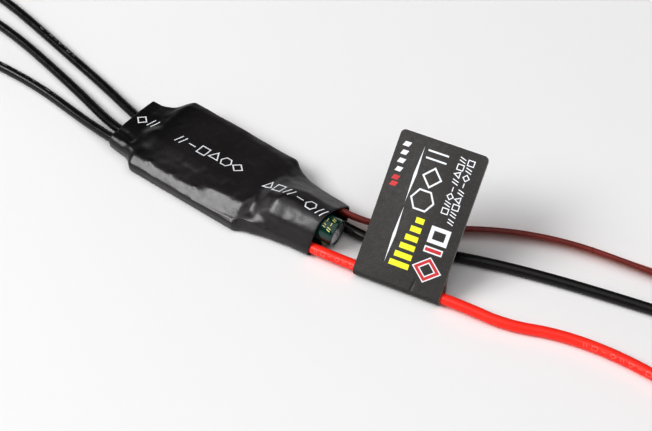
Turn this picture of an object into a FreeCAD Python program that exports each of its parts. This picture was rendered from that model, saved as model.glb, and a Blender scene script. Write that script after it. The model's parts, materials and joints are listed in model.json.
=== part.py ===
# Electronic speed controller for a small brushless motor, as an assembly of separate pieces.
#
# Frame: millimetres, +Z up. The origin is on the flat underside of the shrink sleeve, in the
# middle of the body. +X runs from the three motor leads to the battery and signal leads.
import FreeCAD, Part
import math
import os
import Sketcher

Vector = FreeCAD.Vector
document = FreeCAD.newDocument("speed_controller")
sheet = document.addObject("Spreadsheet::Sheet", "Sizes")
nodes = []

# ---------------------------------------------------------------- driving dimensions, mm and degrees

SIZES = {
    # circuit board, a little inside the sleeve on every side
    "board_length": 25.1,
    "board_width": 18.0,
    "board_thickness": 1.0,
    "board_start": -17.7,
    "board_underside": 1.3,
    "board_corner_cut": 0.8,
    "hole_diameter": 0.9,
    "hole_inset": 2.3,
    "hole_place": -1.6,
    # shrink sleeve
    "sleeve_wall": 0.35,
    # eight-leg power transistors
    "mosfet_length": 4.9,
    "mosfet_width": 3.9,
    "mosfet_height": 1.5,
    "mosfet_pitch": 5.3,
    "mosfet_first": -11.7,
    "mosfet_row_high": 4.9,
    "mosfet_row_low": -2.5,
    "leg_width": 0.42,
    "leg_reach": 1.05,
    "leg_height": 0.25,
    "leg_pitch": 1.27,
    # small parts
    "controller_side": 5.0,
    "controller_height": 0.85,
    "controller_place": -7.0,
    "driver_length": 3.0,
    "driver_width": 1.4,
    "driver_height": 0.9,
    "regulator_length": 2.5,
    "regulator_width": 3.4,
    "regulator_height": 1.05,
    "regulator_tab": 0.6,
    "ceramic_length": 3.2,
    "ceramic_width": 1.6,
    "ceramic_height": 0.5,
    "resistor_length": 1.6,
    "resistor_width": 0.8,
    "resistor_height": 0.45,
    "resonator_length": 3.2,
    "resonator_width": 1.3,
    "resonator_height": 0.85,
    # electrolytic capacitor, lying along the body with its closed end out of the sleeve
    "can_radius": 2.5,
    "can_length": 11.0,
    "can_wall": 0.25,
    "bung_depth": 1.6,
    "element_length": 8.4,
    "vinyl_thickness": 0.2,
    "vinyl_lip": 0.45,
    "capacitor_end_x": 24.15,
    "capacitor_end_y": 0.0,
    "capacitor_end_z": 3.0,
    "capacitor_droop": 6.0,
    "capacitor_swing": 7.5,
    "wire_radius": 0.3,
    "wire_spacing": 2.0,
    # leads
    "motor_lead_radius": 0.9,
    "battery_lead_radius": 1.0,
    "strand_radius": 0.525,
    "motor_core_radius": 0.5,
    "battery_core_radius": 0.65,
    "signal_core_radius": 0.25,
    "tinned_length": 5.0,
    "tinned_tip": 0.25,
    "motor_solder_height": 1.25,
    "motor_solder_width": 1.0,
    "motor_pad_x": -15.7,
    "battery_solder_height": 1.55,
    "battery_solder_width": 1.3,
    "battery_pad_x": 5.7,
    "signal_solder_height": 0.7,
    "signal_solder_width": 0.5,
    "signal_pad_x": 5.8,
    "solder_length": 1.3,
    # bullet sockets on the motor leads, with their shrink sleeves
    "socket_radius": 1.0,
    "socket_depth": 6.5,
    "bullet_radius": 1.5,
    "bullet_length": 11.5,
    "cup_radius": 1.1,
    "cup_depth": 4.0,
    "solder_fill": 3.6,
    "bullet_sleeve_wall": 0.35,
    "bullet_sleeve_tail": 3.0,
    "bullet_sleeve_taper": 1.2,
    # three-way plug on the signal lead
    "plug_length": 14.0,
    "plug_width": 7.6,
    "plug_height": 2.5,
    "plug_pitch": 2.54,
    "cavity_side": 1.7,
    "window_length": 2.6,
    "window_place": 5.4,
    "window_width": 1.0,
    "contact_side": 1.6,
    "contact_bore": 0.9,
    "contact_length": 9.7,
    "contact_inset": 0.8,
    # card tag folded round the positive battery lead
    "tag_width": 16.5,
    "tag_reach": 25.5,
    "tag_thickness": 0.5,
    "tag_fold_inner": 1.23,
    "tag_fold_outer": 1.48,
    "tag_neck": 4.2,
    "tag_corner": 0.9,
    "tag_place_x": 38.98,
    "tag_place_y": -1.3,
    "tag_place_z": 1.5,
    "tag_heading": 11.4,
    "tag_lean": 43.6,
}

# Outside of the shrink sleeve at stations along X. Each row is x, near side, far side, underside,
# top, radius of the upper corners and radius of the lower corners.
SLEEVE_STATIONS = {
    "motor_mouth": (-24.6, -7.2, 5.2, 0.3, 3.8, 1.4, 1.0),
    "motor_collar": (-20.6, -7.6, 5.7, 0.1, 4.1, 1.6, 1.0),
    "shoulder": (-18.2, -9.3, 9.5, 0.0, 4.5, 1.6, 1.0),
    "board_front": (-15.5, -9.65, 9.65, 0.0, 4.9, 1.8, 1.0),
    "board_back": (6.6, -9.65, 9.65, 0.0, 4.9, 1.8, 1.0),
    "step": (9.0, -8.2, 8.5, 0.0, 5.0, 2.2, 1.1),
    "capacitor_rear": (13.2, -7.2, 7.1, 0.0, 7.25, 3.0, 1.3),
    "capacitor_middle": (17.5, -6.5, 6.6, 0.0, 7.1, 3.0, 1.3),
    "battery_mouth": (21.9, -5.75, 6.3, 0.0, 6.7, 2.9, 1.3),
}
STATION_SIDES = ("x", "near", "far", "underside", "top", "round", "foot_round")

# ---------------------------------------------------------------- routes of the leads, mm

MOTOR_ROUTES = {
    "a": [
        (-18.9, 0.7, 2.5),
        (-23.3, 0.9, 2.1),
        (-29.3, 2.6, 1.4),
        (-37.6, 4.9, 0.9),
        (-48.5, 7.1, 0.9),
        (-60.0, 9.5, 0.9),
        (-70.5, 11.5, 0.9),
        (-80.0, 12.2, 0.9),
        (-87.5, 12.0, 1.85),
        (-94.0, 11.4, 1.85),
    ],
    "b": [
        (-18.9, -2.7, 2.5),
        (-23.6, -3.6, 2.1),
        (-30.3, -2.3, 1.4),
        (-38.6, 0.1, 0.9),
        (-49.0, 2.4, 0.9),
        (-60.5, 4.7, 0.9),
        (-70.5, 5.7, 0.9),
        (-79.5, 5.5, 0.9),
        (-87.0, 4.8, 1.85),
        (-93.5, 3.8, 1.85),
    ],
    "c": [
        (-18.9, -5.6, 2.5),
        (-23.4, -6.0, 2.1),
        (-29.5, -5.4, 1.4),
        (-37.0, -4.4, 0.9),
        (-46.5, -3.3, 0.9),
        (-57.5, -3.4, 0.9),
        (-67.0, -4.6, 0.9),
        (-76.5, -5.7, 0.9),
        (-84.0, -6.1, 1.85),
        (-90.5, -6.2, 1.85),
    ],
}
BATTERY_ROUTES = {
    "positive": [
        (8.8, -5.4, 2.5),
        (15.0, -5.15, 1.45),
        (27.3, -3.77, 1.5),
        (50.8, 1.01, 1.5),
        (59.0, 2.3, 1.0),
        (67.0, 6.2, 1.0),
        (76.5, 8.3, 1.0),
        (87.5, 8.7, 1.0),
        (98.5, 7.6, 1.0),
        (108.0, 5.4, 1.0),
        (116.0, 3.1, 1.0),
    ],
    "negative": [
        (8.8, 2.4, 2.5),
        (15.5, 3.6, 1.5),
        (23.5, 3.35, 1.4),
        (30.5, 4.2, 1.0),
        (38.0, 7.9, 1.0),
        (46.5, 11.8, 1.0),
        (56.5, 15.4, 1.0),
        (67.5, 18.6, 1.0),
        (78.5, 21.5, 1.0),
        (89.5, 24.0, 1.0),
        (100.0, 25.8, 1.0),
        (110.0, 26.8, 1.0),
    ],
}
# Middle strand of the signal lead, with the tilt of the three strands in degrees (0 is flat) and
# the distance from one strand to the next
SIGNAL_ROUTE = [
    ((8.8, 5.9, 3.0), 0, 1.3),
    ((14.6, 4.8, 3.4), 30, 1.1),
    ((21.5, 4.4, 3.5), 60, 1.08),
    ((27.3, 6.4, 2.3), 48, 1.08),
    ((33.8, 11.2, 1.4), 45, 1.08),
    ((40.5, 16.9, 1.32), 45, 1.08),
    ((48.5, 22.0, 1.33), 46, 1.08),
    ((58.0, 25.7, 1.35), 48, 1.08),
    ((68.5, 27.7, 1.35), 48, 1.08),
    ((78.5, 29.9, 1.06), 28, 1.08),
    ((88.0, 31.4, 0.66), 5, 1.08),
    ((98.0, 31.6, 0.56), 0, 1.08),
    ((108.0, 31.3, 0.56), 0, 1.08),
    ((116.4, 31.5, 0.56), 0, 1.08),
    ((119.9, 35.0, 0.56), 0, 1.08),
    ((119.9, 39.8, 0.56), 0, 1.08),
    ((116.4, 43.3, 0.56), 0, 1.08),
    ((109.5, 43.4, 0.8), 0, 1.5),
    ((101.5, 43.3, 1.25), 0, 2.54),
    ((93.5, 43.3, 1.25), 0, 2.54),
]
ARC_SHARE = 0.45
SMALLEST_TURN = 1e-4

# ---------------------------------------------------------------- places on the board, mm

REGULATOR_PLACES = [(3.05, -5.9), (-15.5, 6.4)]
CERAMIC_PLACES = [(-13.9, -7.3), (-8.6, -7.3), (-3.0, -7.3)]
DRIVER_PLACES = [(-13.5, -5.6), (-13.5, 0.0), (-13.5, 5.6)]
RESISTOR_PLACES = [(-1.5, 5.5), (-1.5, 3.8), (-1.5, 2.1), (-1.5, -2.1), (-1.5, -3.8), (-1.5, -5.5)]
RESONATOR_PLACES = [(-7.0, 5.4)]
WIRE_STRAIGHT = 1.5
WIRE_RISE = 1.0
WIRE_END = 0.3
CORE_KNEE = 0.35
PAD_GAP = 0.02
STRAND_DEPTH = 3.5

# ---------------------------------------------------------------- sizes bound to the spreadsheet


class Size:
    """A length that knows its number and the spreadsheet formula that it comes from."""

    def __init__(self, number, formula):
        self.number = number
        self.formula = formula

    def joined(self, other, sign, number):
        formula = other.formula if isinstance(other, Size) else str(other)
        return Size(number, f"({self.formula} {sign} {formula})")

    def __add__(self, other):
        return self.joined(other, "+", self.number + float(other))

    def __sub__(self, other):
        return self.joined(other, "-", self.number - float(other))

    def __mul__(self, other):
        return self.joined(other, "*", self.number * float(other))

    def __truediv__(self, other):
        return self.joined(other, "/", self.number / float(other))

    def __neg__(self):
        return Size(-self.number, f"(-1 * {self.formula})")

    def __float__(self):
        return float(self.number)


def as_size(value):
    return value if isinstance(value, Size) else Size(float(value), str(float(value)))


def write_sheet():
    cells = dict(SIZES)
    for station, values in SLEEVE_STATIONS.items():
        cells.update({f"{station}_{side}": value for side, value in zip(STATION_SIDES, values)})
    for row, (alias, value) in enumerate(cells.items(), start=1):
        sheet.set(f"A{row}", alias)
        sheet.set(f"B{row}", str(value))
        sheet.setAlias(f"B{row}", alias)
    document.recompute()
    return {alias: Size(float(sheet.get(alias)), f"Sizes.{alias}") for alias in cells}


size = write_sheet()


def bind(thing, **properties):
    """Bind properties, with the dots of their names written as two underscores."""
    for name, value in properties.items():
        thing.setExpression(name.replace("__", "."), as_size(value).formula)


def move(thing, x, y, z, rotation=None):
    """Put a thing at a place that follows the spreadsheet, turned as a whole by rotation."""
    if rotation is not None:
        thing.Placement = FreeCAD.Placement(Vector(), rotation)
    bind(thing, Placement__Base__x=x, Placement__Base__y=y, Placement__Base__z=z)


def add_node(thing, name):
    """Name a finished sub-part, which also names its file."""
    thing.Label = name
    nodes.append(thing)
    return thing


# ---------------------------------------------------------------- sketches and features


def new_sketch(body, plane, offset=None):
    sketch = body.newObject("Sketcher::SketchObject", f"{body.Name}_sketch")
    origin_plane = next(f for f in body.Origin.OriginFeatures if f.Role == plane)
    sketch.AttachmentSupport = [(origin_plane, "")]
    sketch.MapMode = "FlatFace"
    if offset is not None:
        sketch.setExpression("AttachmentOffset.Base.z", offset.formula)
    return sketch


def fix_point(sketch, edge, end, x, y):
    """Hold one end of an edge at x and y, each a size or zero."""
    for axis, kind, value in ((-2, "DistanceX", x), (-1, "DistanceY", y)):
        if float(value) == 0:
            sketch.addConstraint(Sketcher.Constraint("PointOnObject", edge, end, axis))
            continue
        index = sketch.addConstraint(Sketcher.Constraint(kind, -1, 1, edge, end, float(value)))
        sketch.setExpression(f"Constraints[{index}]", as_size(value).formula)


def draw_polygon(sketch, corners):
    """A closed outline of straight edges whose corners follow the spreadsheet."""
    points = [Vector(float(x), float(y), 0) for x, y in corners]
    first = sketch.GeometryCount
    count = len(points)
    for index, point in enumerate(points):
        sketch.addGeometry(Part.LineSegment(point, points[(index + 1) % count]), False)
    for index, (x, y) in enumerate(corners):
        follower = first + (index + 1) % count
        sketch.addConstraint(Sketcher.Constraint("Coincident", first + index, 2, follower, 1))
        fix_point(sketch, first + index, 1, x, y)


def draw_rectangle(sketch, x, y, width, height):
    """A rectangle about the point x, y."""
    left, right = x - width / 2, x + width / 2
    low, high = y - height / 2, y + height / 2
    draw_polygon(sketch, [(left, low), (right, low), (right, high), (left, high)])


def draw_circle(sketch, x, y, radius):
    centre = Vector(float(x), float(y), 0)
    edge = sketch.addGeometry(Part.Circle(centre, Vector(0, 0, 1), float(radius)), False)
    index = sketch.addConstraint(Sketcher.Constraint("Radius", edge, float(radius)))
    sketch.setExpression(f"Constraints[{index}]", radius.formula)
    fix_point(sketch, edge, 3, x, y)


def draw_rounded_box(sketch, left, right, low, high, upper_radius, lower_radius):
    """A rectangle with round corners whose sides and two radii follow the spreadsheet."""
    west, east, south, north = (float(value) for value in (left, right, low, high))
    quarter, upper, lower = math.pi / 2, float(upper_radius), float(lower_radius)
    sides = [
        (Vector(west + lower, south, 0), Vector(east - lower, south, 0)),
        (Vector(east, south + lower, 0), Vector(east, north - upper, 0)),
        (Vector(east - upper, north, 0), Vector(west + upper, north, 0)),
        (Vector(west, north - upper, 0), Vector(west, south + lower, 0)),
    ]
    corners = [
        (Vector(east - lower, south + lower, 0), lower),
        (Vector(east - upper, north - upper, 0), upper),
        (Vector(west + upper, north - upper, 0), upper),
        (Vector(west + lower, south + lower, 0), lower),
    ]
    for index, (centre, radius) in enumerate(corners):
        circle = Part.Circle(centre, Vector(0, 0, 1), radius)
        arc = Part.ArcOfCircle(circle, (index - 1) * quarter, index * quarter)
        sketch.addGeometry([Part.LineSegment(*sides[index]), arc], False)
    for index in range(4):
        line, arc, follower = 2 * index, 2 * index + 1, (2 * index + 2) % 8
        level = "Horizontal" if index % 2 == 0 else "Vertical"
        sketch.addConstraint(Sketcher.Constraint("Tangent", line, 2, arc, 1))
        sketch.addConstraint(Sketcher.Constraint("Tangent", arc, 2, follower, 1))
        sketch.addConstraint(Sketcher.Constraint(level, line))
    sketch.addConstraint(Sketcher.Constraint("Equal", 1, 7))
    sketch.addConstraint(Sketcher.Constraint("Equal", 3, 5))
    bound = [
        (Sketcher.Constraint("Radius", 1, lower), lower_radius),
        (Sketcher.Constraint("Radius", 3, upper), upper_radius),
        (Sketcher.Constraint("DistanceY", -1, 1, 0, 1, south), low),
        (Sketcher.Constraint("DistanceX", -1, 1, 2, 1, east), right),
        (Sketcher.Constraint("DistanceY", -1, 1, 4, 1, north), high),
        (Sketcher.Constraint("DistanceX", -1, 1, 6, 1, west), left),
    ]
    for constraint, value in bound:
        index = sketch.addConstraint(constraint)
        sketch.setExpression(f"Constraints[{index}]", as_size(value).formula)


def new_body(name):
    return document.addObject("PartDesign::Body", name)


def pad(body, sketch, length, midplane=False):
    feature = body.newObject("PartDesign::Pad", f"{body.Name}_pad")
    feature.Profile = sketch
    feature.Midplane = midplane
    bind(feature, Length=length)
    sketch.Visibility = False
    return feature


def pocket(body, sketch, length, reverse=False, midplane=False):
    feature = body.newObject("PartDesign::Pocket", f"{body.Name}_pocket")
    feature.Profile = sketch
    feature.Reversed = reverse
    feature.Midplane = midplane
    bind(feature, Length=length)
    return feature


def revolved_body(name, corners):
    """A turned piece: corners are (radius, height) pairs round its section, turned about Z."""
    body = new_body(name)
    sketch = new_sketch(body, "XZ_Plane")
    draw_polygon(sketch, corners)
    feature = body.newObject("PartDesign::Revolution", f"{name}_revolution")
    feature.Profile = sketch
    feature.ReferenceAxis = (sketch, ["V_Axis"])
    feature.Angle = 360
    return body


def primitive(kind, name, x, y, z, rotation=None, **sizes):
    thing = document.addObject(kind, name)
    bind(thing, **sizes)
    move(thing, x, y, z, rotation)
    return thing


def box(name, centre_x, centre_y, base, length, width, height):
    """A box centred on a point of the plan, standing on its base."""
    corner_x, corner_y = as_size(centre_x) - length / 2, as_size(centre_y) - width / 2
    sides = {"Length": length, "Width": width, "Height": height}
    return primitive("Part::Box", name, corner_x, corner_y, base, **sides)


def group(name, things):
    """Separate solids that share one node."""
    compound = document.addObject("Part::Compound", name)
    compound.Links = things
    return add_node(compound, name)


def combined(kind, name, base, tool):
    thing = document.addObject(kind, name)
    thing.Base = base
    thing.Tool = tool
    return thing


# ---------------------------------------------------------------- tubes that follow a route


def turn_between(before, corner, after):
    return (corner - before).getAngle(after - corner)


def arc_radii(points):
    """The radius at each inner point: 0.45 of the shorter run over the tangent of half the turn."""
    radii = []
    for before, corner, after in zip(points, points[1:], points[2:]):
        shorter = min((corner - before).Length, (after - corner).Length)
        turn = max(turn_between(before, corner, after), SMALLEST_TURN)
        radii.append(ARC_SHARE * shorter / math.tan(turn / 2))
    return radii


def route_wire(points):
    """Straight runs joined by tangent arcs."""
    edges = []
    last = points[0]
    for before, corner, after in zip(points, points[1:], points[2:]):
        back = before - corner
        onward = after - corner
        reach = ARC_SHARE * min(back.Length, onward.Length)
        back.normalize()
        onward.normalize()
        half_turn = turn_between(before, corner, after) / 2
        start, end = corner + back * reach, corner + onward * reach
        inward = back + onward
        inward.normalize()
        radius = reach / math.tan(half_turn)
        middle = corner + inward * (radius / math.cos(half_turn) - radius)
        edges.append(Part.LineSegment(last, start).toShape())
        edges.append(Part.Arc(start, middle, end).toShape())
        last = end
    edges.append(Part.LineSegment(last, points[-1]).toShape())
    return Part.Wire(edges)


def tube_shape(points, radius):
    spine = route_wire(points)
    heading = points[1] - points[0]
    section = Part.Wire(Part.makeCircle(radius, points[0], heading))
    shape = spine.makePipeShell([section], True, False)
    expected = math.pi * radius**2 * spine.Length
    if abs(shape.Volume - expected) > 0.01 * expected:
        raise ValueError(f"tube volume {shape.Volume:.2f} differs from {expected:.2f}")
    return shape, spine.Length


def tube(name, route, radius):
    """A tube along a route; returns the object and leaves it out of the nodes."""
    points = [Vector(*point) for point in route]
    thing = document.addObject("Part::Feature", name)
    thing.Shape, length = tube_shape(points, float(radius))
    radii = arc_radii(points)
    shown = ", ".join(f"{value:.1f}" for value in radii)
    print(f"{name}: length {length:.1f}, smallest arc {min(radii):.1f}, arcs {shown}")
    return thing


def end_direction(route):
    """Unit direction of a route's last run."""
    direction = Vector(*route[-1]) - Vector(*route[-2])
    return direction.normalize()


def place_on_end(thing, route):
    """Stand a turned piece's Z axis on the end of a route."""
    rotation = FreeCAD.Rotation(Vector(0, 0, 1), end_direction(route))
    move(thing, *route[-1], rotation)
    return thing


# ---------------------------------------------------------------- shrink sleeve


def station_sketch(body, station, inset):
    """The sleeve's section at a station, drawn inset walls inside its outer face."""
    wall = size["sleeve_wall"] * inset
    side = {name: size[f"{station}_{name}"] for name in STATION_SIDES}
    sketch = new_sketch(body, "YZ_Plane", side["x"])
    left, right = side["near"] + wall, side["far"] - wall
    low, high = side["underside"] + wall, side["top"] - wall
    draw_rounded_box(sketch, left, right, low, high, side["round"] - wall, side["foot_round"] - wall)
    return sketch


def loft(body, kind, sketches):
    feature = body.newObject(kind, f"{body.Name}_loft")
    feature.Profile = sketches[0]
    feature.Sections = sketches[1:]
    feature.Ruled = True
    return feature


def heat_shrink_sleeve():
    body = new_body("heat_shrink_sleeve")
    loft(body, "PartDesign::AdditiveLoft", [station_sketch(body, s, 0) for s in SLEEVE_STATIONS])
    document.recompute()
    loft(body, "PartDesign::SubtractiveLoft", [station_sketch(body, s, 1) for s in SLEEVE_STATIONS])
    add_node(body, "heat_shrink_sleeve")


# ---------------------------------------------------------------- circuit board and its parts


def board_top():
    return size["board_underside"] + size["board_thickness"]


def board_outline():
    start, half = size["board_start"], size["board_width"] / 2
    end, cut = start + size["board_length"], size["board_corner_cut"]
    return [
        (start + cut, -half),
        (end - cut, -half),
        (end, -half + cut),
        (end, half - cut),
        (end - cut, half),
        (start + cut, half),
        (start, half - cut),
        (start, -half + cut),
    ]


def hole_places():
    """Centres of the two plated holes at the capacitor end."""
    x = size["board_start"] + size["board_length"] - size["hole_inset"]
    return [(x, size["hole_place"] + size["wire_spacing"] / 2 * side) for side in (1.0, -1.0)]


def circuit_board():
    body = new_body("circuit_board")
    sketch = new_sketch(body, "XY_Plane", size["board_underside"])
    draw_polygon(sketch, board_outline())
    pad(body, sketch, size["board_thickness"])
    document.recompute()
    holes = new_sketch(body, "XY_Plane", board_top())
    for x, y in hole_places():
        draw_circle(holes, x, y, size["hole_diameter"] / 2)
    pocket(body, holes, size["board_thickness"])
    add_node(body, "circuit_board")


def leg_offsets():
    return [size["leg_pitch"] * step for step in (-1.5, -0.5, 0.5, 1.5)]


def mosfet(name, x, y):
    """An eight-leg power package on top of the board, with four legs on each long side."""
    length, width, height = (size[f"mosfet_{side}"] for side in ("length", "width", "height"))
    leg_width, leg_reach, leg_height = (size[f"leg_{side}"] for side in ("width", "reach", "height"))
    package = box(name, x, y, board_top(), length, width, height)
    legs = []
    for index, offset in enumerate(leg_offsets()):
        for side in (1.0, -1.0):
            leg_y = as_size(y) + (width / 2 + leg_reach / 2) * side
            leg_name = f"{name}_leg_{index}_{'far' if side > 0 else 'near'}"
            legs.append(box(leg_name, x + offset, leg_y, board_top(), leg_width, leg_reach, leg_height))
    fused = document.addObject("Part::MultiFuse", f"{name}_with_legs")
    fused.Shapes = [package] + legs
    return fused


def mosfet_row(name, y):
    row = []
    for index in range(3):
        x = size["mosfet_first"] + size["mosfet_pitch"] * index
        row.append(mosfet(f"{name}_{index}", x, y))
    group(name, row)


def chip_group(name, places, chip, on_top=True, turned=False):
    """Small rectangular parts of one kind, on the top or the underside of the board."""
    length, width, height = (size[f"{chip}_{side}"] for side in ("length", "width", "height"))
    if turned:
        length, width = width, length
    base = board_top() if on_top else size["board_underside"] - height
    boxes = []
    for index, (x, y) in enumerate(places):
        boxes.append(box(f"{name}_{index}", x, y, base, length, width, height))
    group(name, boxes)


def microcontroller():
    side, height = size["controller_side"], size["controller_height"]
    base = size["board_underside"] - height
    chip = box("controller_package", size["controller_place"], 0.0, base, side, side, height)
    add_node(chip, "microcontroller")


def voltage_regulators(places):
    """Two tab-mounted linear regulators, each a package and a metal tab in one solid."""
    length, width, height = (size[f"regulator_{side}"] for side in ("length", "width", "height"))
    tab_length = size["regulator_tab"]
    parts = []
    for index, (x, y) in enumerate(places):
        package = box(f"regulator_package_{index}", x, y, board_top(), length, width, height)
        tab_x = as_size(x) - length / 2 - tab_length / 2
        tab_size = (tab_length, width / 2, size["leg_height"])
        tab = box(f"regulator_tab_{index}", tab_x, y, board_top(), *tab_size)
        parts.append(combined("Part::Fuse", f"regulator_{index}", package, tab))
    group("voltage_regulators", parts)


def board_parts():
    mosfet_row("high_side_mosfets", size["mosfet_row_high"])
    mosfet_row("low_side_mosfets", size["mosfet_row_low"])
    microcontroller()
    voltage_regulators(REGULATOR_PLACES)
    chip_group("ceramic_capacitors", CERAMIC_PLACES, "ceramic")
    chip_group("gate_drivers", DRIVER_PLACES, "driver", on_top=False, turned=True)
    chip_group("chip_resistors", RESISTOR_PLACES, "resistor", on_top=False)
    chip_group("resonator", RESONATOR_PLACES, "resonator", on_top=False)


# ---------------------------------------------------------------- electrolytic capacitor


def capacitor_rotation():
    """Turns local +Z to the capacitor's axis, from its rubber end to its closed end."""
    swing = FreeCAD.Rotation(Vector(0, 0, 1), size["capacitor_swing"].number)
    droop = FreeCAD.Rotation(Vector(0, 1, 0), 90 + size["capacitor_droop"].number)
    return swing.multiply(droop)


def capacitor_point(across, along):
    """A point on the capacitor, given from its closed end: across is level, along its axis."""
    end = Vector(*(size[f"capacitor_end_{axis}"].number for axis in "xyz"))
    return end + capacitor_rotation().multVec(Vector(0, across, along))


def place_capacitor_piece(body, name):
    end = [size[f"capacitor_end_{axis}"] for axis in "xyz"]
    move(body, *end, capacitor_rotation())
    add_node(body, name)


def capacitor_can():
    """A drawn cup, closed at height zero and open at the rubber end below."""
    radius, wall, length = size["can_radius"], size["can_wall"], size["can_length"]
    corners = [
        (0, 0),
        (radius - wall, 0),
        (radius, -wall),
        (radius, -length),
        (radius - wall, -length),
        (radius - wall, -wall),
        (0, -wall),
    ]
    place_capacitor_piece(revolved_body("capacitor_can", corners), "capacitor_can")


def capacitor_fill():
    inner, length = size["can_radius"] - size["can_wall"], size["can_length"]
    bung_start = size["bung_depth"] - length
    bung = [(0, -length), (inner, -length), (inner, bung_start), (0, bung_start)]
    place_capacitor_piece(revolved_body("capacitor_bung", bung), "capacitor_bung")
    top = -size["can_wall"]
    bottom = top - size["element_length"]
    element = [(0, bottom), (inner, bottom), (inner, top), (0, top)]
    place_capacitor_piece(revolved_body("capacitor_element", element), "capacitor_element")


def capacitor_vinyl_sleeve():
    """A shrunk film over the can's side, lapping over both of its ends."""
    inner, film = size["can_radius"], size["vinyl_thickness"]
    outer, lip, length = inner + film, inner - size["vinyl_lip"], size["can_length"]
    corners = [
        (lip, film),
        (outer - film, film),
        (outer, -film),
        (outer, -length - film),
        (lip, -length - film),
        (lip, -length),
        (inner, -length),
        (inner, -size["can_wall"]),
        (inner - size["can_wall"], 0),
        (lip, 0),
    ]
    place_capacitor_piece(revolved_body("capacitor_vinyl_sleeve", corners), "capacitor_vinyl_sleeve")


def capacitor_wires():
    """Two tinned wires from the rubber bung down onto the board."""
    wires = []
    base = -size["can_length"].number
    for index, side in enumerate((1, -1)):
        across = side * size["wire_spacing"].number / 2
        root = capacitor_point(across, base)
        knee = capacitor_point(across, base - WIRE_STRAIGHT)
        hole_x, hole_y = (float(v) for v in hole_places()[index])
        above = Vector(hole_x, hole_y, float(board_top()) + WIRE_RISE)
        below = Vector(hole_x, hole_y, float(size["board_underside"]) - WIRE_END)
        wires.append(tube(f"capacitor_wire_{index}", [root, knee, above, below], size["wire_radius"]))
    group("capacitor_wires", wires)


# ---------------------------------------------------------------- leads


def signal_strands():
    """Routes of the three strands, side by side across the middle strand's route."""
    middle = [Vector(*point) for point, _, _ in SIGNAL_ROUTE]
    strands = {"brown": [], "red": [], "orange": []}
    last = len(middle) - 1
    for index, (_, tilt, pitch) in enumerate(SIGNAL_ROUTE):
        heading = middle[min(index + 1, last)] - middle[max(index - 1, 0)]
        level = Vector(heading.y, -heading.x, 0).normalize()
        slope = math.radians(tilt)
        across = (level * math.cos(slope) + Vector(0, 0, 1) * math.sin(slope)) * pitch
        strands["brown"].append(tuple(middle[index] + across))
        strands["red"].append(tuple(middle[index]))
        strands["orange"].append(tuple(middle[index] - across))
    return strands


SIGNAL_ROUTES = signal_strands()
LEADS = {"motor": MOTOR_ROUTES, "battery": BATTERY_ROUTES, "signal": SIGNAL_ROUTES}


def leads():
    """The insulated part of every lead."""
    for kind, routes in LEADS.items():
        radius = size["strand_radius" if kind == "signal" else f"{kind}_lead_radius"]
        for name, route in routes.items():
            node = f"{kind}_lead_{name}"
            add_node(tube(f"{node}_tube", route, radius), node)


def lead_cores():
    """The bare end of every lead, from its insulation down onto a pad of the board."""
    cores = []
    for kind, routes in LEADS.items():
        radius, pad_x = size[f"{kind}_core_radius"], size[f"{kind}_pad_x"].number
        height = float(board_top() + radius)
        for name, route in routes.items():
            x, y, z = route[0]
            knee = (x + CORE_KNEE * (pad_x - x), y, height + PAD_GAP)
            tip = (pad_x, y + PAD_GAP, height + PAD_GAP)
            cores.append(tube(f"{kind}_core_{name}", [route[0], knee, tip], radius))
    group("lead_cores", cores)


def solder_joints():
    """A mound of solder over the tip of each core, flat on the board."""
    mounds = []
    for kind, routes in LEADS.items():
        for name, route in routes.items():
            place = (size[f"{kind}_pad_x"], route[0][1], board_top())
            radii = {
                "Radius1": size[f"{kind}_solder_height"],
                "Radius2": size["solder_length"],
                "Radius3": size[f"{kind}_solder_width"],
            }
            mound = primitive("Part::Ellipsoid", f"{kind}_solder_{name}", *place, **radii)
            mound.Angle1 = 0
            mounds.append(mound)
    group("solder_joints", mounds)


def tinned_ends():
    """Stripped and tinned ends of the two battery leads."""
    radius, length, tip = size["battery_core_radius"], size["tinned_length"], size["tinned_tip"]
    corners = [(0, 0), (radius, 0), (radius, length - tip), (radius - tip, length), (0, length)]
    for name, route in BATTERY_ROUTES.items():
        end = revolved_body(f"battery_end_{name}", corners)
        add_node(place_on_end(end, route), f"tinned_end_{name}")


# ---------------------------------------------------------------- bullet sockets


def bullet_outline():
    """From the solder cup at height zero to the mouth of the socket."""
    outer, length = size["bullet_radius"], size["bullet_length"]
    cup, cup_depth = size["cup_radius"], size["cup_depth"]
    bore, floor = size["socket_radius"], length - size["socket_depth"]
    return [
        (cup, 0), (outer, 0), (outer, length), (bore, length),
        (bore, floor), (0, floor), (0, cup_depth), (cup, cup_depth),
    ]


def bullet_sleeve_outline():
    """A shrunk tube over the bullet, necked down onto the lead behind it."""
    wall, tail = size["bullet_sleeve_wall"], size["bullet_sleeve_tail"]
    lead, bullet, length = size["motor_lead_radius"], size["bullet_radius"], size["bullet_length"]
    taper = -size["bullet_sleeve_taper"]
    return [
        (lead, -tail), (lead + wall, -tail), (lead + wall, taper), (bullet + wall, 0),
        (bullet + wall, length), (bullet, length), (bullet, 0), (lead, taper),
    ]


def bullet_connectors():
    fill, cup = size["solder_fill"], size["cup_radius"]
    solder = []
    for name, route in MOTOR_ROUTES.items():
        bullet = place_on_end(revolved_body(f"bullet_body_{name}", bullet_outline()), route)
        add_node(bullet, f"bullet_connector_{name}")
        cover = place_on_end(revolved_body(f"bullet_cover_{name}", bullet_sleeve_outline()), route)
        add_node(cover, f"bullet_sleeve_{name}")
        fill_sizes = {"Radius": cup, "Height": fill}
        plug = primitive("Part::Cylinder", f"bullet_solder_{name}", 0.0, 0.0, 0.0, **fill_sizes)
        solder.append(place_on_end(plug, route))
    group("bullet_solder", solder)


# ---------------------------------------------------------------- signal plug


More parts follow.
